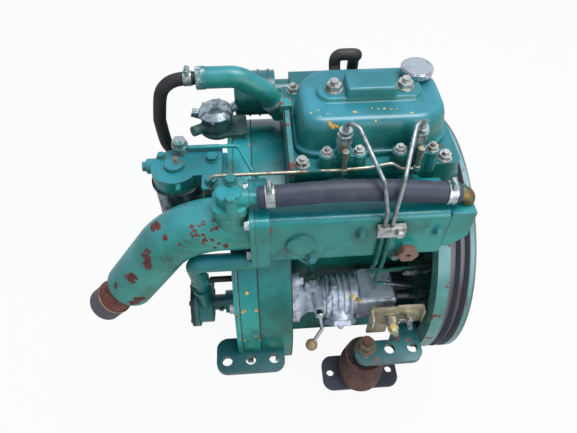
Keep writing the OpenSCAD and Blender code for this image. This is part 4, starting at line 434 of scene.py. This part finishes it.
metals = {
    "zincHex": {"metal": (190, 196, 196), "tarnish": (122, 128, 126), "over": (44, 108, 102), "overFrom": 0.57,
        "rough": 0.30},
    "darkHex": {"metal": (186, 188, 184), "tarnish": (112, 108, 100), "over": (92, 70, 56), "overFrom": 0.60,
        "rough": 0.36, "shine": 0.8},
    "pipeSteel": {"metal": (150, 158, 160), "tarnish": (98, 106, 106), "over": (44, 112, 102), "overFrom": 0.66,
        "rough": 0.42, "overScale": 30,
        "bands": {"axis": "Z", "between": [(70, 246)], "colour": (26, 98, 88), "dark": (16, 76, 66)}},
    "returnSteel": {"metal": (172, 168, 154), "tarnish": (128, 108, 90), "over": (24, 96, 90), "overFrom": 0.60,
        "rough": 0.42, "overScale": 18},
    "bowlSteel": {"metal": (128, 134, 140), "tarnish": (60, 66, 70), "over": (20, 24, 26), "overFrom": 0.52,
        "rough": 0.30, "overScale": 30},
    "capChrome": {"metal": (206, 210, 218), "tarnish": (150, 152, 162), "over": (120, 96, 70), "overFrom": 0.74,
        "rough": 0.16},
    "liftPumpSkin": {"metal": (178, 190, 198), "tarnish": (112, 126, 128), "over": (24, 74, 68), "overFrom": 0.66,
        "rough": 0.26, "cast": 0.3,
        "bands": {"axis": "Z", "between": [(100, 252.5)], "colour": (50, 88, 86), "dark": (20, 36, 36)}},
    "pumpAluminium": {"metal": (206, 212, 224), "tarnish": (150, 156, 168), "over": (104, 110, 118), "overFrom": 0.66,
        "rough": 0.40, "cast": 0.30, "shine": 0.45, "round": 1.4,
        "spots": [(189, -158, 36, 4), (197, -160, 27, 4.5), (187, -112, 60, 4), (205, -166, 32, 3)],
        "spotColour": (240, 178, 24)},
    "goldZinc": {"metal": (206, 192, 156), "tarnish": (156, 142, 110), "over": (176, 176, 168), "overFrom": 0.56,
        "rough": 0.36, "shine": 0.6, "spots": [(256, -212, 6, 4), (250, -213, -8, 4.5), (246, -213, 26, 3)],
        "spotColour": (240, 190, 20)},
    "dullZinc": {"metal": (176, 184, 194), "tarnish": (128, 136, 146), "over": (36, 96, 88), "overFrom": 0.68,
        "rough": 0.42, "shine": 0.6},
    "machinedIron": {"metal": (150, 150, 150), "tarnish": (96, 94, 92), "over": (70, 62, 56), "overFrom": 0.70,
        "rough": 0.32},
    "oldBrass": {"metal": (140, 116, 76), "tarnish": (86, 80, 54), "over": (56, 98, 82), "overFrom": 0.55,
        "rough": 0.38},
}
others = {
    "mountRust": (rustyIron, {"deep": (64, 42, 38), "pale": (98, 66, 54), "bright": (128, 84, 64),
        "bands": {"axis": "Z", "between": [(-127, -118.6)], "colour": (58, 60, 70)}}),
    "nutBronze": (rustyIron, {"deep": (72, 64, 52), "pale": (112, 100, 78), "bright": (128, 110, 84)}),
    "stubRust": (rustyIron, {"deep": (74, 40, 34), "pale": (112, 62, 50), "bright": (140, 84, 60),
        "tip": (-202.9, -140, 37.7, 31), "tipColour": (84, 78, 84)}),
    "weldTan": (rustyIron, {"deep": (110, 82, 62), "pale": (150, 122, 96), "bright": (168, 140, 110)}),
    "hoseRubber": (rubberOrPlastic, {"base": (36, 44, 58), "dusty": (78, 80, 88), "dust": 0.45, "cast": 0.25,
        "rough": 0.55}),
    "mountRubber": (rubberOrPlastic, {"base": (22, 22, 24), "dusty": (60, 56, 52), "dust": 0.5, "cast": 0.3,
        "rough": 0.6}),
    "headPlastic": (rubberOrPlastic, {"base": (26, 27, 34), "dusty": (60, 60, 68), "dust": 0.3, "cast": 0.2,
        "rough": 0.34}),
    "gasketPaper": (rubberOrPlastic, {"base": (40, 42, 40), "dusty": (80, 76, 66), "dust": 0.5, "cast": 0.3,
        "rough": 0.8}),
    "primerBall": (rubberOrPlastic, {"base": (150, 124, 92), "dusty": (110, 92, 70), "dust": 0.7, "cast": 0.15,
        "rough": 0.4}),
}
finish = {name: paintedIron(name, look) for name, look in enamels.items()}
finish.update({name: bareMetal(name, look) for name, look in metals.items()})
finish.update({name: maker(name, look) for name, (maker, look) in others.items()})
print("finishes made:", len(finish))

# Which CAD nodes each finish goes on
nodeFinish = {
    "coverEnamel": "rocker_cover",
    "headEnamel": "cylinder_head injector_clamps intake_manifold",
    "pumpEnamel": "water_pump filter_head",
    "ringEnamel": "rear_ring",
    "caseEnamel": "timing_case crankcase sump oil_filter",
    "manifoldEnamel": "exhaust_manifold manifold_cap thermostat_cover",
    "elbowEnamel": "exhaust_elbow",
    "strapEnamel": "lifting_strap",
    "wheelEnamel": "flywheel",
    "bracketEnamel": "brackets",
    "pipeEnamel": "rear_pipe coolant_tube fuel_line",
    "returnSteel": "leak_off_pipe",
    "zincHex": "hex_bolts fuel_unions hose_clamps injector_1 injector_2",
    "darkHex": "hex_nuts pipe_clamp priming_lever stop_lever",
    "pipeSteel": "injection_pipe_1 injection_pipe_2",
    "bowlSteel": "filter_bowl",
    "liftPumpSkin": "lift_pump",
    "capChrome": "filler_cap hand_lever throttle_spring",
    "pumpAluminium": "injection_pump piston_1 piston_2",
    "goldZinc": "control_bracket throttle_lever",
    "machinedIron": "crankshaft crank_gear camshaft cam_gear idler_gear pump_gear cylinder_liners",
    "oldBrass": "hose_elbow",
    "stubRust": "exhaust_stub",
    "mountRust": "mount_shells",
    "mountRubber": "mount_rubbers impeller small_hoses",
    "hoseRubber": "coolant_hose",
    "headPlastic": "distributor_head water_pump_cover",
    "gasketPaper": "head_gasket",
}
for finishName, names in nodeFinish.items():
    for name in names.split():
        for materialSlot in nodes[name].material_slots:
            materialSlot.material = finish[finishName]
print("finishes on the CAD nodes set")


# Each vector divided by its length
def unit(v):
    return v / np.linalg.norm(v, axis=-1, keepdims=True)


# Each point's distance along its route: the running sum of the steps between points
def lengthAlong(route):
    return np.concatenate([[0], np.cumsum(np.linalg.norm(np.diff(route, axis=0), axis=1))])


# Quads between neighbouring rows of points; the columns close on themselves, and the rows where asked
def gridFaces(rows, cols, closedRows=False):
    r = np.arange(rows if closedRows else rows - 1)[:, None]
    c = np.arange(cols)[None, :]
    nextRow, nextCol = (r + 1) % rows, (c + 1) % cols
    corners = [r * cols + c, r * cols + nextCol, nextRow * cols + nextCol, nextRow * cols + c]
    return np.stack(np.broadcast_arrays(*corners), axis=-1).reshape(-1, 4).tolist()


# The same quads, with one flat face over the first row and one over the last
def cappedFaces(rows, cols):
    last = (rows - 1) * cols
    return gridFaces(rows, cols) + [list(range(cols))[::-1], list(range(last, last + cols))]


# Angles at even steps all the way round, laid along the second of three axes
def fullTurn(sides):
    return np.linspace(0, 2 * np.pi, sides, endpoint=False)[None, :, None]


# Straight runs joined by arcs of radius bend, in mm: each arc blends its two end radii by the sines of the angle
# left and the angle done
def softRoute(corners, bend, steps):
    p = np.array(corners, float)
    route = [p[:1]]
    for before, corner, after in zip(p[:-2], p[1:-1], p[2:]):
        a, b = unit(before - corner), unit(after - corner)
        half = math.acos(float(np.clip(a @ b, -1, 1))) / 2
        turn = math.pi - 2 * half
        centre = corner + unit(a + b) * bend / math.sin(half)
        start, end = corner + a * bend / math.tan(half) - centre, corner + b * bend / math.tan(half) - centre
        t = np.linspace(0, 1, steps)[:, None]
        route.append(centre + (start * np.sin((1 - t) * turn) + end * np.sin(t * turn)) / math.sin(turn))
    route.append(p[-1:])
    return np.vstack(route)


# The same route with points added by straight interpolation, so that no step is longer than longest mm
def fine(route, longest):
    run = lengthAlong(route)
    at = np.unique(np.round(np.concatenate([run, np.arange(0, run[-1], longest)]), 3))
    return np.stack([np.interp(at, run, route[:, axis]) for axis in range(3)], 1)


# A piece's route, with arcs at its bends and no step longer than it allows
def routeOf(p):
    return fine(softRoute(p["route"], p["bend"], p.get("arcSteps", 9)), p.get("longest", 3.0))


# Extra radius along a route: each (where, reach, height) is a hump that falls with the fourth power of the
# distance from it, in mm; where counts from the far end if it is below 0
def swell(route, humps):
    run = lengthAlong(route)
    extra = np.zeros(len(run))
    for where, reach, height in humps:
        at = where if where >= 0 else run[-1] + where
        extra += height * np.exp(-((run - at) / reach) ** 4)
    return extra


# A pipe along its own route, with the humps and the wall that its dictionary gives
def pipeOf(p):
    route = routeOf(p)
    return tube(route, p["radius"] + swell(route, p.get("humps", [])), p["sides"], p.get("wall", 0))


# A circle of each radius round each point of the route, square to it, carried along without twist
def rings(route, radius, sides):
    ahead = unit(np.gradient(route, axis=0))
    first = np.eye(3)[np.argmin(np.abs(ahead[0]))]
    across = []
    for tangent in ahead:
        first = unit(first - tangent * (first @ tangent))
        across.append(first)
    across = np.array(across)
    over = np.cross(ahead, across)
    turn = fullTurn(sides)
    radius = np.broadcast_to(radius, len(route))[:, None, None]
    return route[:, None] + radius * (np.cos(turn) * across[:, None] + np.sin(turn) * over[:, None])


# A tube along a route in mm; with a wall it is hollow, where the outside goes forward and the inside comes back
def tube(route, radius, sides, wall=0):
    grid = rings(route, radius, sides)
    if wall:
        grid = np.concatenate([grid, rings(route, radius - wall, sides)[::-1]])
    faces = gridFaces(len(grid), sides, True) if wall else cappedFaces(len(grid), sides)
    return grid.reshape(-1, 3), faces


# A lathe form: the profile's (distance along the axis, radius) pairs, in mm from the base, go once round
def turned(base, axis, profile, sides=40):
    ahead = unit(np.array(axis, float))
    along, radius = np.array(profile, float).T[:, :, None, None]
    first = unit(np.cross(ahead, np.eye(3)[np.argmin(np.abs(ahead))]))
    over, turn = np.cross(ahead, first), fullTurn(sides)
    grid = np.array(base, float) + ahead * along + radius * (np.cos(turn) * first + np.sin(turn) * over)
    return grid.reshape(-1, 3), cappedFaces(len(grid), sides)


# A hexagon bar with its two rims turned down by a tenth, as a nut's are
def hexBar(base, axis, length, radius):
    return turned(base, axis, [(0, radius * 0.9), (length * 0.12, radius), (length * 0.88, radius),
                               (length, radius * 0.9)], 6)


# A ball's profile is a half circle, left a little open at its poles so that the caps have width
def ball(centre, radius):
    opening, rows = 0.06, 24
    turn = np.linspace(opening, np.pi - opening, rows)
    return turned(centre, (0, 0, 1), np.stack([-radius * np.cos(turn), radius * np.sin(turn)], 1))


# A polygon's edge at even steps, averaged twice over a length soften, so that its corners turn round
def softOutline(corners, soften, count):
    p = np.array(list(corners) + [corners[0]], float)
    run = lengthAlong(p)
    at = np.linspace(0, run[-1], count, endpoint=False)
    edge = np.stack([np.interp(at, run, p[:, axis]) for axis in (0, 1)], 1)
    width = max(1, int(round(soften / run[-1] * count)) | 1)
    window = np.roll(np.pad(np.full(width, 1 / width), (0, count - width)), -(width // 2))
    blur = np.fft.rfft(window)[:, None] ** 2
    return np.fft.irfft(np.fft.rfft(edge, axis=0) * blur, n=count, axis=0)


# A cast shape: at each (inset, height) over the level the corners move in along their bisectors and the outline is
# softened again; the top is closed by rings that shrink towards its middle
def castForm(corners, soften, level, steps):
    count, closing = 224, (0.97, 0.8, 0.5, 0.2)
    p = np.array(corners, float)
    along = unit(np.roll(p, -1, axis=0) - p)
    normal = np.stack([-along[:, 1], along[:, 0]], 1)           # points inwards, corners run anticlockwise
    before = np.roll(normal, 1, axis=0)
    bisector = (normal + before) / (1 + np.sum(normal * before, axis=1, keepdims=True))
    walls = [softOutline((p + bisector * inset).tolist(), soften, count) for inset, height in steps]
    middle = walls[-1].mean(0)
    walls += [middle + (walls[-1] - middle) * share for share in closing]
    heights = [level + height for inset, height in steps] + [level + steps[-1][1]] * len(closing)
    grid = np.stack([np.column_stack([wall, np.full(count, z)]) for wall, z in zip(walls, heights)])
    return grid.reshape(-1, 3), cappedFaces(len(grid), count)


# Joins shapes, each (points in mm, faces), into one closed piece with its normals out, and says what it rides on
def makePiece(name, shapes, finishName, body="engine", replaces=()):
    points, faces, start = [], [], 0
    oneVertex, sharpFrom = 1e-6, 40     # metres between points that are one, and degrees of a sharp edge
    for shapePoints, shapeFaces in shapes:
        points.append(shapePoints * mm)
        faces += [[corner + start for corner in face] for face in shapeFaces]
        start += len(shapePoints)
    mesh = bpy.data.meshes.new(name)
    mesh.from_pydata(np.vstack(points).tolist(), [], faces)
    shell = bmesh.new()
    shell.from_mesh(mesh)
    bmesh.ops.remove_doubles(shell, verts=shell.verts, dist=oneVertex)
    bmesh.ops.recalc_face_normals(shell, faces=shell.faces)
    shell.to_mesh(mesh)
    shell.free()
    mesh.shade_smooth()
    mesh.set_sharp_from_angle(angle=math.radians(sharpFrom))
    mesh.materials.append(finish[finishName])
    piece = bpy.data.objects.new(name, mesh)
    bpy.context.scene.collection.objects.link(piece)
    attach(piece, body)
    if replaces:
        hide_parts(*replaces)


cover = {
    "x": (98, 320), "halfWidth": 72, "corner": 34, "nearRearCorner": 14,    # plan of the flange
    "foot": 269.8, "top": 325.5, "softCorner": 20,
    "flangeSteps": [(0.6, 0), (0, 0.6), (0, 6.5), (1.2, 8), (3.2, 8.4), (4.6, 10), (5.4, 14)],     # inset, height
    "crownSteps": [(7.2, 29.7), (8.4, 38.7), (10.4, 46.2), (13.4, 51.5), (17, 54.4), (21, 55.6), (24, 55.7)],
    "pedestalX": (156, 256), "pedestalR": 24,       # the steps of pedestal and ridge count from the cover's top
    "pedestalSteps": [(-6, -3), (-3.2, -1.2), (-1.2, 0.6), (-0.2, 3), (0.4, 5.2), (1.4, 6)],
    "ridge": (171, 241), "ridgeHalf": 21, "softPedestal": 7, "softRidge": 4,
    "ridgeSteps": [(-1, 2), (0.4, 7), (1.4, 17), (2.2, 19), (3.8, 20)],
    "neck": (280, 34, 319.5), "neckProfile": [(0, 22), (4, 20), (6.5, 17), (13.5, 17), (14, 16)],
    "vent": (172, 55, 297.5), "ventProfile": [(0, 9), (18, 9)],
}


# The flange's plan: a box with its corners cut, the near rear one less than the others
def coverPlan(c):
    x0, x1, w, k = *c["x"], c["halfWidth"], c["corner"]
    near = c["nearRearCorner"]
    return [(x0, -w + near), (x0 + near * 1.6, -w), (x1 - k, -w), (x1, -w + k), (x1, w - k), (x1 - k, w),
            (x0 + k, w), (x0, w - k)]


# Cast forms for shell, pedestal and ridge; the pedestal's plan is two arcs of 120 degrees round its two ends
def rockerCover(c):
    shell = castForm(coverPlan(c), c["softCorner"], c["foot"], c["flangeSteps"] + c["crownSteps"])
    (a, b), r = c["pedestalX"], c["pedestalR"]
    turn = np.radians(np.arange(-60, 61, 15))
    left = [(a - r * math.cos(t), -r * math.sin(t)) for t in turn]
    right = [(b + r * math.cos(t), r * math.sin(t)) for t in turn]
    pedestal = castForm(right + left, c["softPedestal"], c["top"], c["pedestalSteps"])
    (x0, x1), h = c["ridge"], c["ridgeHalf"]
    ridge = castForm([(x0, -h), (x1, -h), (x1, h), (x0, h)], c["softRidge"], c["top"], c["ridgeSteps"])
    return [shell, pedestal, ridge, turned(c["neck"], (0, 0, 1), c["neckProfile"]),
            turned(c["vent"], (0, 1, 0), c["ventProfile"], sides=24)]


makePiece("rockerCover", rockerCover(cover), "coverEnamel", replaces=["rocker_cover"])
print("rocker cover made")

# Pipes and hoses follow the same routes as the solids they stand for
hose = {"route": [(44, -150, 283), (175, -150, 290.5), (306, -150, 273)], "bend": 600, "radius": 14.5, "wall": 3.5,
        "arcSteps": 30, "longest": 2.0, "sides": 40,
        "lip": 0.9, "lipReach": 1.6, "ripple": 0.15, "ripplesPerMm": 0.21, "calmEnds": 40}


# The radius draws in at both ends as a bell curve does, and ripples as a sine between them
def coolantHose(h):
    route = routeOf(h)
    run = lengthAlong(route)
    fromEnd = np.minimum(run, run[-1] - run)
    radius = h["radius"] - h["lip"] * np.exp(-(fromEnd / h["lipReach"]) ** 2)
    radius = radius + h["ripple"] * np.sin(run * h["ripplesPerMm"]) * np.clip(fromEnd / h["calmEnds"], 0, 1)
    return [tube(route, radius, h["sides"], h["wall"])]


makePiece("coolantHose", coolantHose(hose), "hoseRubber", replaces=["coolant_hose"])

injection = {
    "radius": 3, "bend": 10.8, "sides": 20, "humps": [(2, 5, 1.3), (-2, 4, 1.0)],
    "1": [(161, -84, 331.6), (161, -84, 345.5), (175, -98, 345.5), (200, -162, 311.5), (207, -177, 271),
          (207, -177, 160), (210, -146, 88), (328, -120, 58.8), (328, -120, 36), (305, -120, 36)],
    "2": [(261, -84, 331.6), (261, -84, 345.5), (247, -98, 345.5), (224, -162, 311.5), (217, -177, 271),
          (217, -177, 160), (220, -158, 76), (340, -140, 14.8), (340, -140, -8), (327, -140, -8)],
}
for number in "12":
    makePiece("injectionPipe" + number, [pipeOf({**injection, "route": injection[number]})], "pipeSteel",
              replaces=["injection_pipe_" + number])

leak = {"route": [(-19, -100.6, 248.1), (-19, -100.6, 274.5), (156, -100.6, 274.5), (196, -100.6, 277),
                  (226, -100.6, 283.5), (241, -100.6, 272), (261, -100.6, 272)], "radius": 2.5, "bend": 9,
        "sides": 16, "stalks": (161, 261), "y": -100.6, "foot": 269.5, "eyeZ": 304.5, "eye": [(0, 4), (7.8, 4)],
        "stalk": [(0, 4.4), (0.6, 5), (8, 5), (9, 3.8), (27, 3.8), (28, 5), (39.4, 5), (40, 4.4)]}


# The pipe, and at each injector a turned stalk with a cross bar to the injector
def leakOffPipe(p):
    shapes = [pipeOf(p)]
    for x in p["stalks"]:
        shapes.append(turned((x, p["y"], p["foot"]), (0, 0, 1), p["stalk"], sides=24))
        shapes.append(turned((x, p["y"], p["eyeZ"]), (0, 1, 0), p["eye"], sides=20))
    return shapes


makePiece("leakOffPipe", leakOffPipe(leak), "returnSteel", replaces=["leak_off_pipe"])

brassElbow = {"route": [(288.2, -150, 275.4), (319.76, -150, 271), (319.76, -150, 258.3)], "bend": 13.05,
              "arcSteps": 14, "longest": 2.0, "sides": 32, "radius": 10.7, "wall": 1.7}
makePiece("hoseElbow", [pipeOf(brassElbow)], "oldBrass", replaces=["hose_elbow"])

fuelLine = {"route": [(-53.45, -22, 254), (18.5, -22, 254), (37, -70, 251), (60, -86, 215), (93, -96, 203),
                      (93, -96, 76), (124, -106, 56), (124, -124.45, 56)], "bend": 9, "radius": 3, "sides": 16}
makePiece("fuelLine", [pipeOf(fuelLine)], "pipeEnamel", replaces=["fuel_line"])

rearPipe = {"route": [(86.9, 60, 243.3), (65.3, 60, 284.5), (23.3, 60, 315), (-38, 60, 315)], "bend": 40,
            "arcSteps": 14, "longest": 1.5, "sides": 36, "radius": 16, "wall": 2, "humps": [(26, 8, 1.2)],
            "collar": [(0, 16.2), (0.6, 17), (13, 17), (14, 16)], "stub": [(-2, 7.5), (0, 7.5), (10, 7.5), (12, 6.8)],
            "bandFrom": 22, "bandTo": 31, "bandRadii": [16.6, 17.5, 17.7, 17.7, 17.7, 17.5, 16.6],
            "bandSides": 40, "bandWall": 1.5}


# The bent pipe with a hump where its band sits, and at its far end a collar back along it and the hose's stub
def rearCoolantPipe(p):
    end = p["route"][-1]
    return [pipeOf(p), turned(end, (1, 0, 0), p["collar"], p["sides"]),
            turned(end, (-1, 0, 0), p["stub"], sides=24)]


# A short wide tube on the pipe's first straight run, one radius for each of its rings
def rearPipeBand(p):
    start, after = (np.array(corner, float) for corner in p["route"][:2])
    reach = np.linspace(p["bandFrom"], p["bandTo"], len(p["bandRadii"]))[:, None]
    return [tube(start + unit(after - start) * reach, np.array(p["bandRadii"]), p["bandSides"], p["bandWall"])]


makePiece("rearPipe", rearCoolantPipe(rearPipe), "rearPipeEnamel", replaces=["rear_pipe"])

lowerTube = {"route": [(30.9, -167, 168), (-51, -167, 168), (-51, -150, 104)], "bend": 15.6, "radius": 13, "wall": 2,
             "arcSteps": 14, "longest": 2.0, "sides": 36, "humps": [(4, 3, 0.8)],
             "riser": (-51, -150), "foot": 76.3, "riserR": 10, "nut": (92, 105), "nutR": 15}


# The bent tube, and under its end a straight riser with a hexagon nut round it
def lowerCoolantTube(t):
    x, y = t["riser"]
    low, high = t["nut"]
    return [pipeOf(t), hexBar((x, y, low), (0, 0, 1), high - low, t["nutR"]),
            turned((x, y, t["foot"]), (0, 0, 1), [(0, t["riserR"]), (low - t["foot"], t["riserR"])], sides=32)]


makePiece("coolantTube", lowerCoolantTube(lowerTube), "pumpEnamel", replaces=["coolant_tube"])

smallHoses = {
    "rear": {"route": [(-38.6, 60, 315), (-90, 60, 315), (-104, 60, 240), (-102, 60, 180), (-34.3, 75, 120),
                       (-0.3, 75, 120)], "bend": 40, "radius": 10, "relax": 8},
    "breather": {"route": [(172, 75, 297.5), (172, 98, 297.5), (172, 98, 320.9), (206, 98, 320.9), (206, 122, 297.5),
                           (206, 122, 262.3)], "bend": 10.4, "radius": 9, "relax": 1},
    "pumpFrom": (-35.7, -150, 98), "pumpProfile": [(0, 4.4), (0.6, 4.8), (34.8, 4.8), (35.4, 4.4)],
    "arcSteps": 14, "longest": 2.5, "sides": 28, "lip": 0.7, "lipReach": 1.2,
}


# Each point becomes the mean of its neighbours up to reach places away; the straight ends stay straight
def relaxed(route, reach):
    steps = np.arange(1, reach + 1)[:, None]
    before = route[:1] - steps[::-1] * (route[1] - route[0])
    after = route[-1:] + steps * (route[-1] - route[-2])
    padded = np.vstack([before, route, after])
    weights = np.full(2 * reach + 1, 1 / (2 * reach + 1))
    return np.stack([np.convolve(padded[:, axis], weights, "valid") for axis in range(3)], 1)


# A relaxed tube whose radius draws in at both ends as a bell curve does, counted in points from the end
def hoseAlong(h):
    route = relaxed(routeOf(h), h["relax"])
    run = np.linspace(0, 1, len(route))
    fromEnd = np.minimum(run, 1 - run) * len(route)
    return tube(route, h["radius"] - h["lip"] * np.exp(-(fromEnd / h["lipReach"]) ** 2), h["sides"])


makePiece("smallHoses", [*(hoseAlong({**smallHoses, **smallHoses[which]}) for which in ("rear", "breather")),
                         turned(smallHoses["pumpFrom"], (1, 0, 0), smallHoses["pumpProfile"], sides=24)],
          "mountRubber", replaces=["small_hoses"])

spring = {"axis": (250, 18), "start": -207.6, "wire": 1.1, "coil": 7.5, "turns": 4, "pitch": 3.8, "leg": 16,
          "perTurn": 28, "sides": 12}


# Two straight legs and the coil between them: its angle and its reach along the shaft both grow evenly
def coilSpring(k):
    s = np.linspace(0, k["turns"], k["turns"] * k["perTurn"] + 1)
    coil = np.stack([k["coil"] * np.cos(2 * np.pi * s), k["coil"] * np.sin(2 * np.pi * s), s * k["pitch"]], 1)
    first, last = [[k["coil"], -k["leg"], 0]], [[k["coil"], k["leg"], k["turns"] * k["pitch"]]]
    local = np.vstack([first, coil, last])
    x, z = k["axis"]
    route = np.stack([x + local[:, 0], k["start"] + local[:, 2], z - local[:, 1]], 1)
    return [tube(route, k["wire"], k["sides"])]


makePiece("throttleSpring", coilSpring(spring), "capChrome", replaces=["throttle_spring"])

primer = {"hubFrom": (133, -188, 30), "hub": [(0, 6.2), (0.8, 7), (8.6, 7), (9.4, 6.2)], "pin": [(5, 3), (22, 3)],
          "route": [(133, -184, 30), (138, -196, 4), (120, -210, -25)], "radius": 3, "bend": 14,
          "arcSteps": 12, "sides": 16, "ball": 10}


# A turned hub and pin along the lever's axis, and the bent rod down to the ball
def primingLever(p):
    return [turned(p["hubFrom"], (0, 1, 0), p["hub"], sides=32), turned(p["hubFrom"], (0, 1, 0), p["pin"], sides=24),
            pipeOf(p)]


makePiece("handLever", primingLever(primer), "capChrome", body="hand_primer", replaces=["hand_lever"])
makePiece("primerBall", [ball(primer["route"][-1], primer["ball"])], "primerBall", body="hand_primer")
makePiece("rearPipeBand", rearPipeBand(rearPipe), "dullZinc")
print("pipes, hoses, spring and hand lever made")

# Small fittings that the solids leave out
liftPump = {"centre": (-15, 59), "z": 249.5, "screwR": 25, "screws": 6, "first": 20,
            "screw": [(0, 3.2), (6.5, 3.2), (8, 2.0)]}


# Turned screw heads at even angles round the lift pump's flange
def liftPumpScrews(k):
    x, y = k["centre"]
    turn = np.radians(np.arange(k["screws"]) * 360 / k["screws"] + k["first"])
    r = k["screwR"]
    return [turned((x + r * math.cos(t), y + r * math.sin(t), k["z"]), (0, 0, 1), k["screw"], sides=20) for t in turn]


makePiece("liftPumpScrews", liftPumpScrews(liftPump), "dullZinc")

mountNut = {"places": [(209, -222), (209, 222)], "z": -20, "height": 13, "radius": 13.8, "washerR": 16, "washer": 2}


# A turned washer and a hexagon nut round each mount's stud
def mountNuts(k):
    shapes = []
    for x, y in k["places"]:
        shapes.append(turned((x, y, k["z"]), (0, 0, 1), [(0.1, k["washerR"]), (k["washer"], k["washerR"])]))
        shapes.append(hexBar((x, y, k["z"] + k["washer"]), (0, 0, 1), k["height"], k["radius"]))
    return shapes


makePiece("mountNuts", mountNuts(mountNut), "nutBronze")
print("small fittings made")

# Each seam is its place along the crank axis, its radius and half its width
seams = {"rings": [(8.5, 217.2, 0.6), (37, 217.3, 0.9), (87.1, 217.2, 0.8)], "sides": 160, "depth": 3}


# A thin hollow ring round the crank axis where two housings meet
def seamRings(k):
    return [tube(np.array([[x - half, 0, 0], [x, 0, 0], [x + half, 0, 0]]), r, k["sides"], k["depth"])
            for x, r, half in k["rings"]]


makePiece("housingSeams", seamRings(seams), "gasketPaper")

weld = {"at": (-192.7, -140, 48.7), "axis": (-0.682, 0, -0.731), "radius": 28.0, "bead": 0.9, "uneven": 0.3,
        "beads": 34, "around": 272, "across": 10}


# A thin ring round the outlet whose own radius rises and falls once for each bead
def weldBead(k):
    axis = unit(np.array(k["axis"], float))
    side = unit(np.cross(axis, [0, 1, 0]))
    a, b = fullTurn(k["around"]).transpose(1, 0, 2), fullTurn(k["across"])
    size = k["bead"] * (1 + k["uneven"] * np.abs(np.sin(k["beads"] / 2 * a)))
    outwards = np.cos(a) * side + np.sin(a) * np.cross(axis, side)
    grid = np.array(k["at"]) + (k["radius"] + size * np.cos(b)) * outwards + size * np.sin(b) * axis
    return [(grid.reshape(-1, 3), gridFaces(k["around"], k["across"], True))]


makePiece("outletWeld", weldBead(weld), "weldTan")
print("seams and weld made")

studio = {
    "floorZ": -228.2, "floorHalf": 6.0,     # mm and metres
    "floorColour": (0.50, 0.50, 0.50, 1), "floorRough": 0.9,
    "floorGlow": 0.94,                      # share of plain white that the camera sees in the floor
    "skyColour": (0.84, 0.96, 1.12, 1),     # tint of the even light
    "sky": 0.66,                            # its strength
    "mirrorSky": 0.50,                      # share of plain white that reflections see in the sky
    "lamps": {                              # place, target and size in metres, and watts
        "keyLamp": ((0.6, 0.1, 2.2), (0.1, 0, 0.1), 1.3, 46),
        "fillLamp": ((1.3, -1.6, 0.9), (0.1, 0, 0), 1.6, 20),
    },
}
white = (1, 1, 1, 1)


# A round area lamp at a place, which looks at its target: its back is the unit vector away from it
def softLamp(name, place, target, size, power):
    light = bpy.data.lights.new(name, "AREA")
    light.shape, light.size, light.energy = "DISK", size, power
    back = unit(np.array(place, float) - np.array(target, float))
    right = unit(np.cross([0, 0, 1.0], back))
    stand(bpy.data.objects.new(name, light), right, np.cross(back, right), back, place)


# The sky's colour and strength move to plain white by how much a ray is the camera's or a reflection's
def softSky(s):
    world = bpy.data.worlds.new("softSky")
    bpy.context.scene.world = world
    world.use_nodes = True
    tree = world.node_tree
    sky, path = tree.nodes["Background"], tree.nodes.new("ShaderNodeLightPath")
    camera, through, glossy = (Wire(tree, path.outputs["Is " + ray + " Ray"])
                               for ray in ("Camera", "Transmission", "Glossy"))
    seen = camera.atLeast(through).atLeast(glossy * s["mirrorSky"])
    tree.links.new(seen.between(s["skyColour"], white).socket, sky.inputs["Color"])
    tree.links.new((s["sky"] + seen * (1 - s["sky"])).socket, sky.inputs["Strength"])
    tree.links.new(sky.outputs[0], tree.nodes["World Output"].inputs[0])


# A square floor: what the camera sees of it is mixed with plain white, and everything else sees plain grey
def paleFloor(s):
    made, tree, shader, place = startMaterial("paleFloor")
    join(tree, shader, colour=s["floorColour"], rough=s["floorRough"])
    camera = Wire(tree, tree.nodes.new("ShaderNodeLightPath").outputs["Is Camera Ray"])
    glow = place.add("Emission", {}, {"Color": white, "Strength": 1.0})
    mixed = place.add("MixShader", {}, {0: camera * s["floorGlow"], 1: Wire(tree, shader.outputs[0]), 2: glow})
    tree.links.new(mixed.socket, tree.nodes["Material Output"].inputs["Surface"])
    mesh = bpy.data.meshes.new("studioFloor")
    z, w = s["floorZ"] * mm, s["floorHalf"]
    mesh.from_pydata([(-w, -w, z), (w, -w, z), (w, w, z), (-w, w, z)], [], [(0, 1, 2, 3)])
    mesh.materials.append(made)
    floor = bpy.data.objects.new("studioFloor", mesh)
    bpy.context.scene.collection.objects.link(floor)


softSky(studio)
paleFloor(studio)
for name, lamp in studio["lamps"].items():
    softLamp(name, *lamp)
bpy.context.scene.view_settings.view_transform = "Standard"
print("studio set")
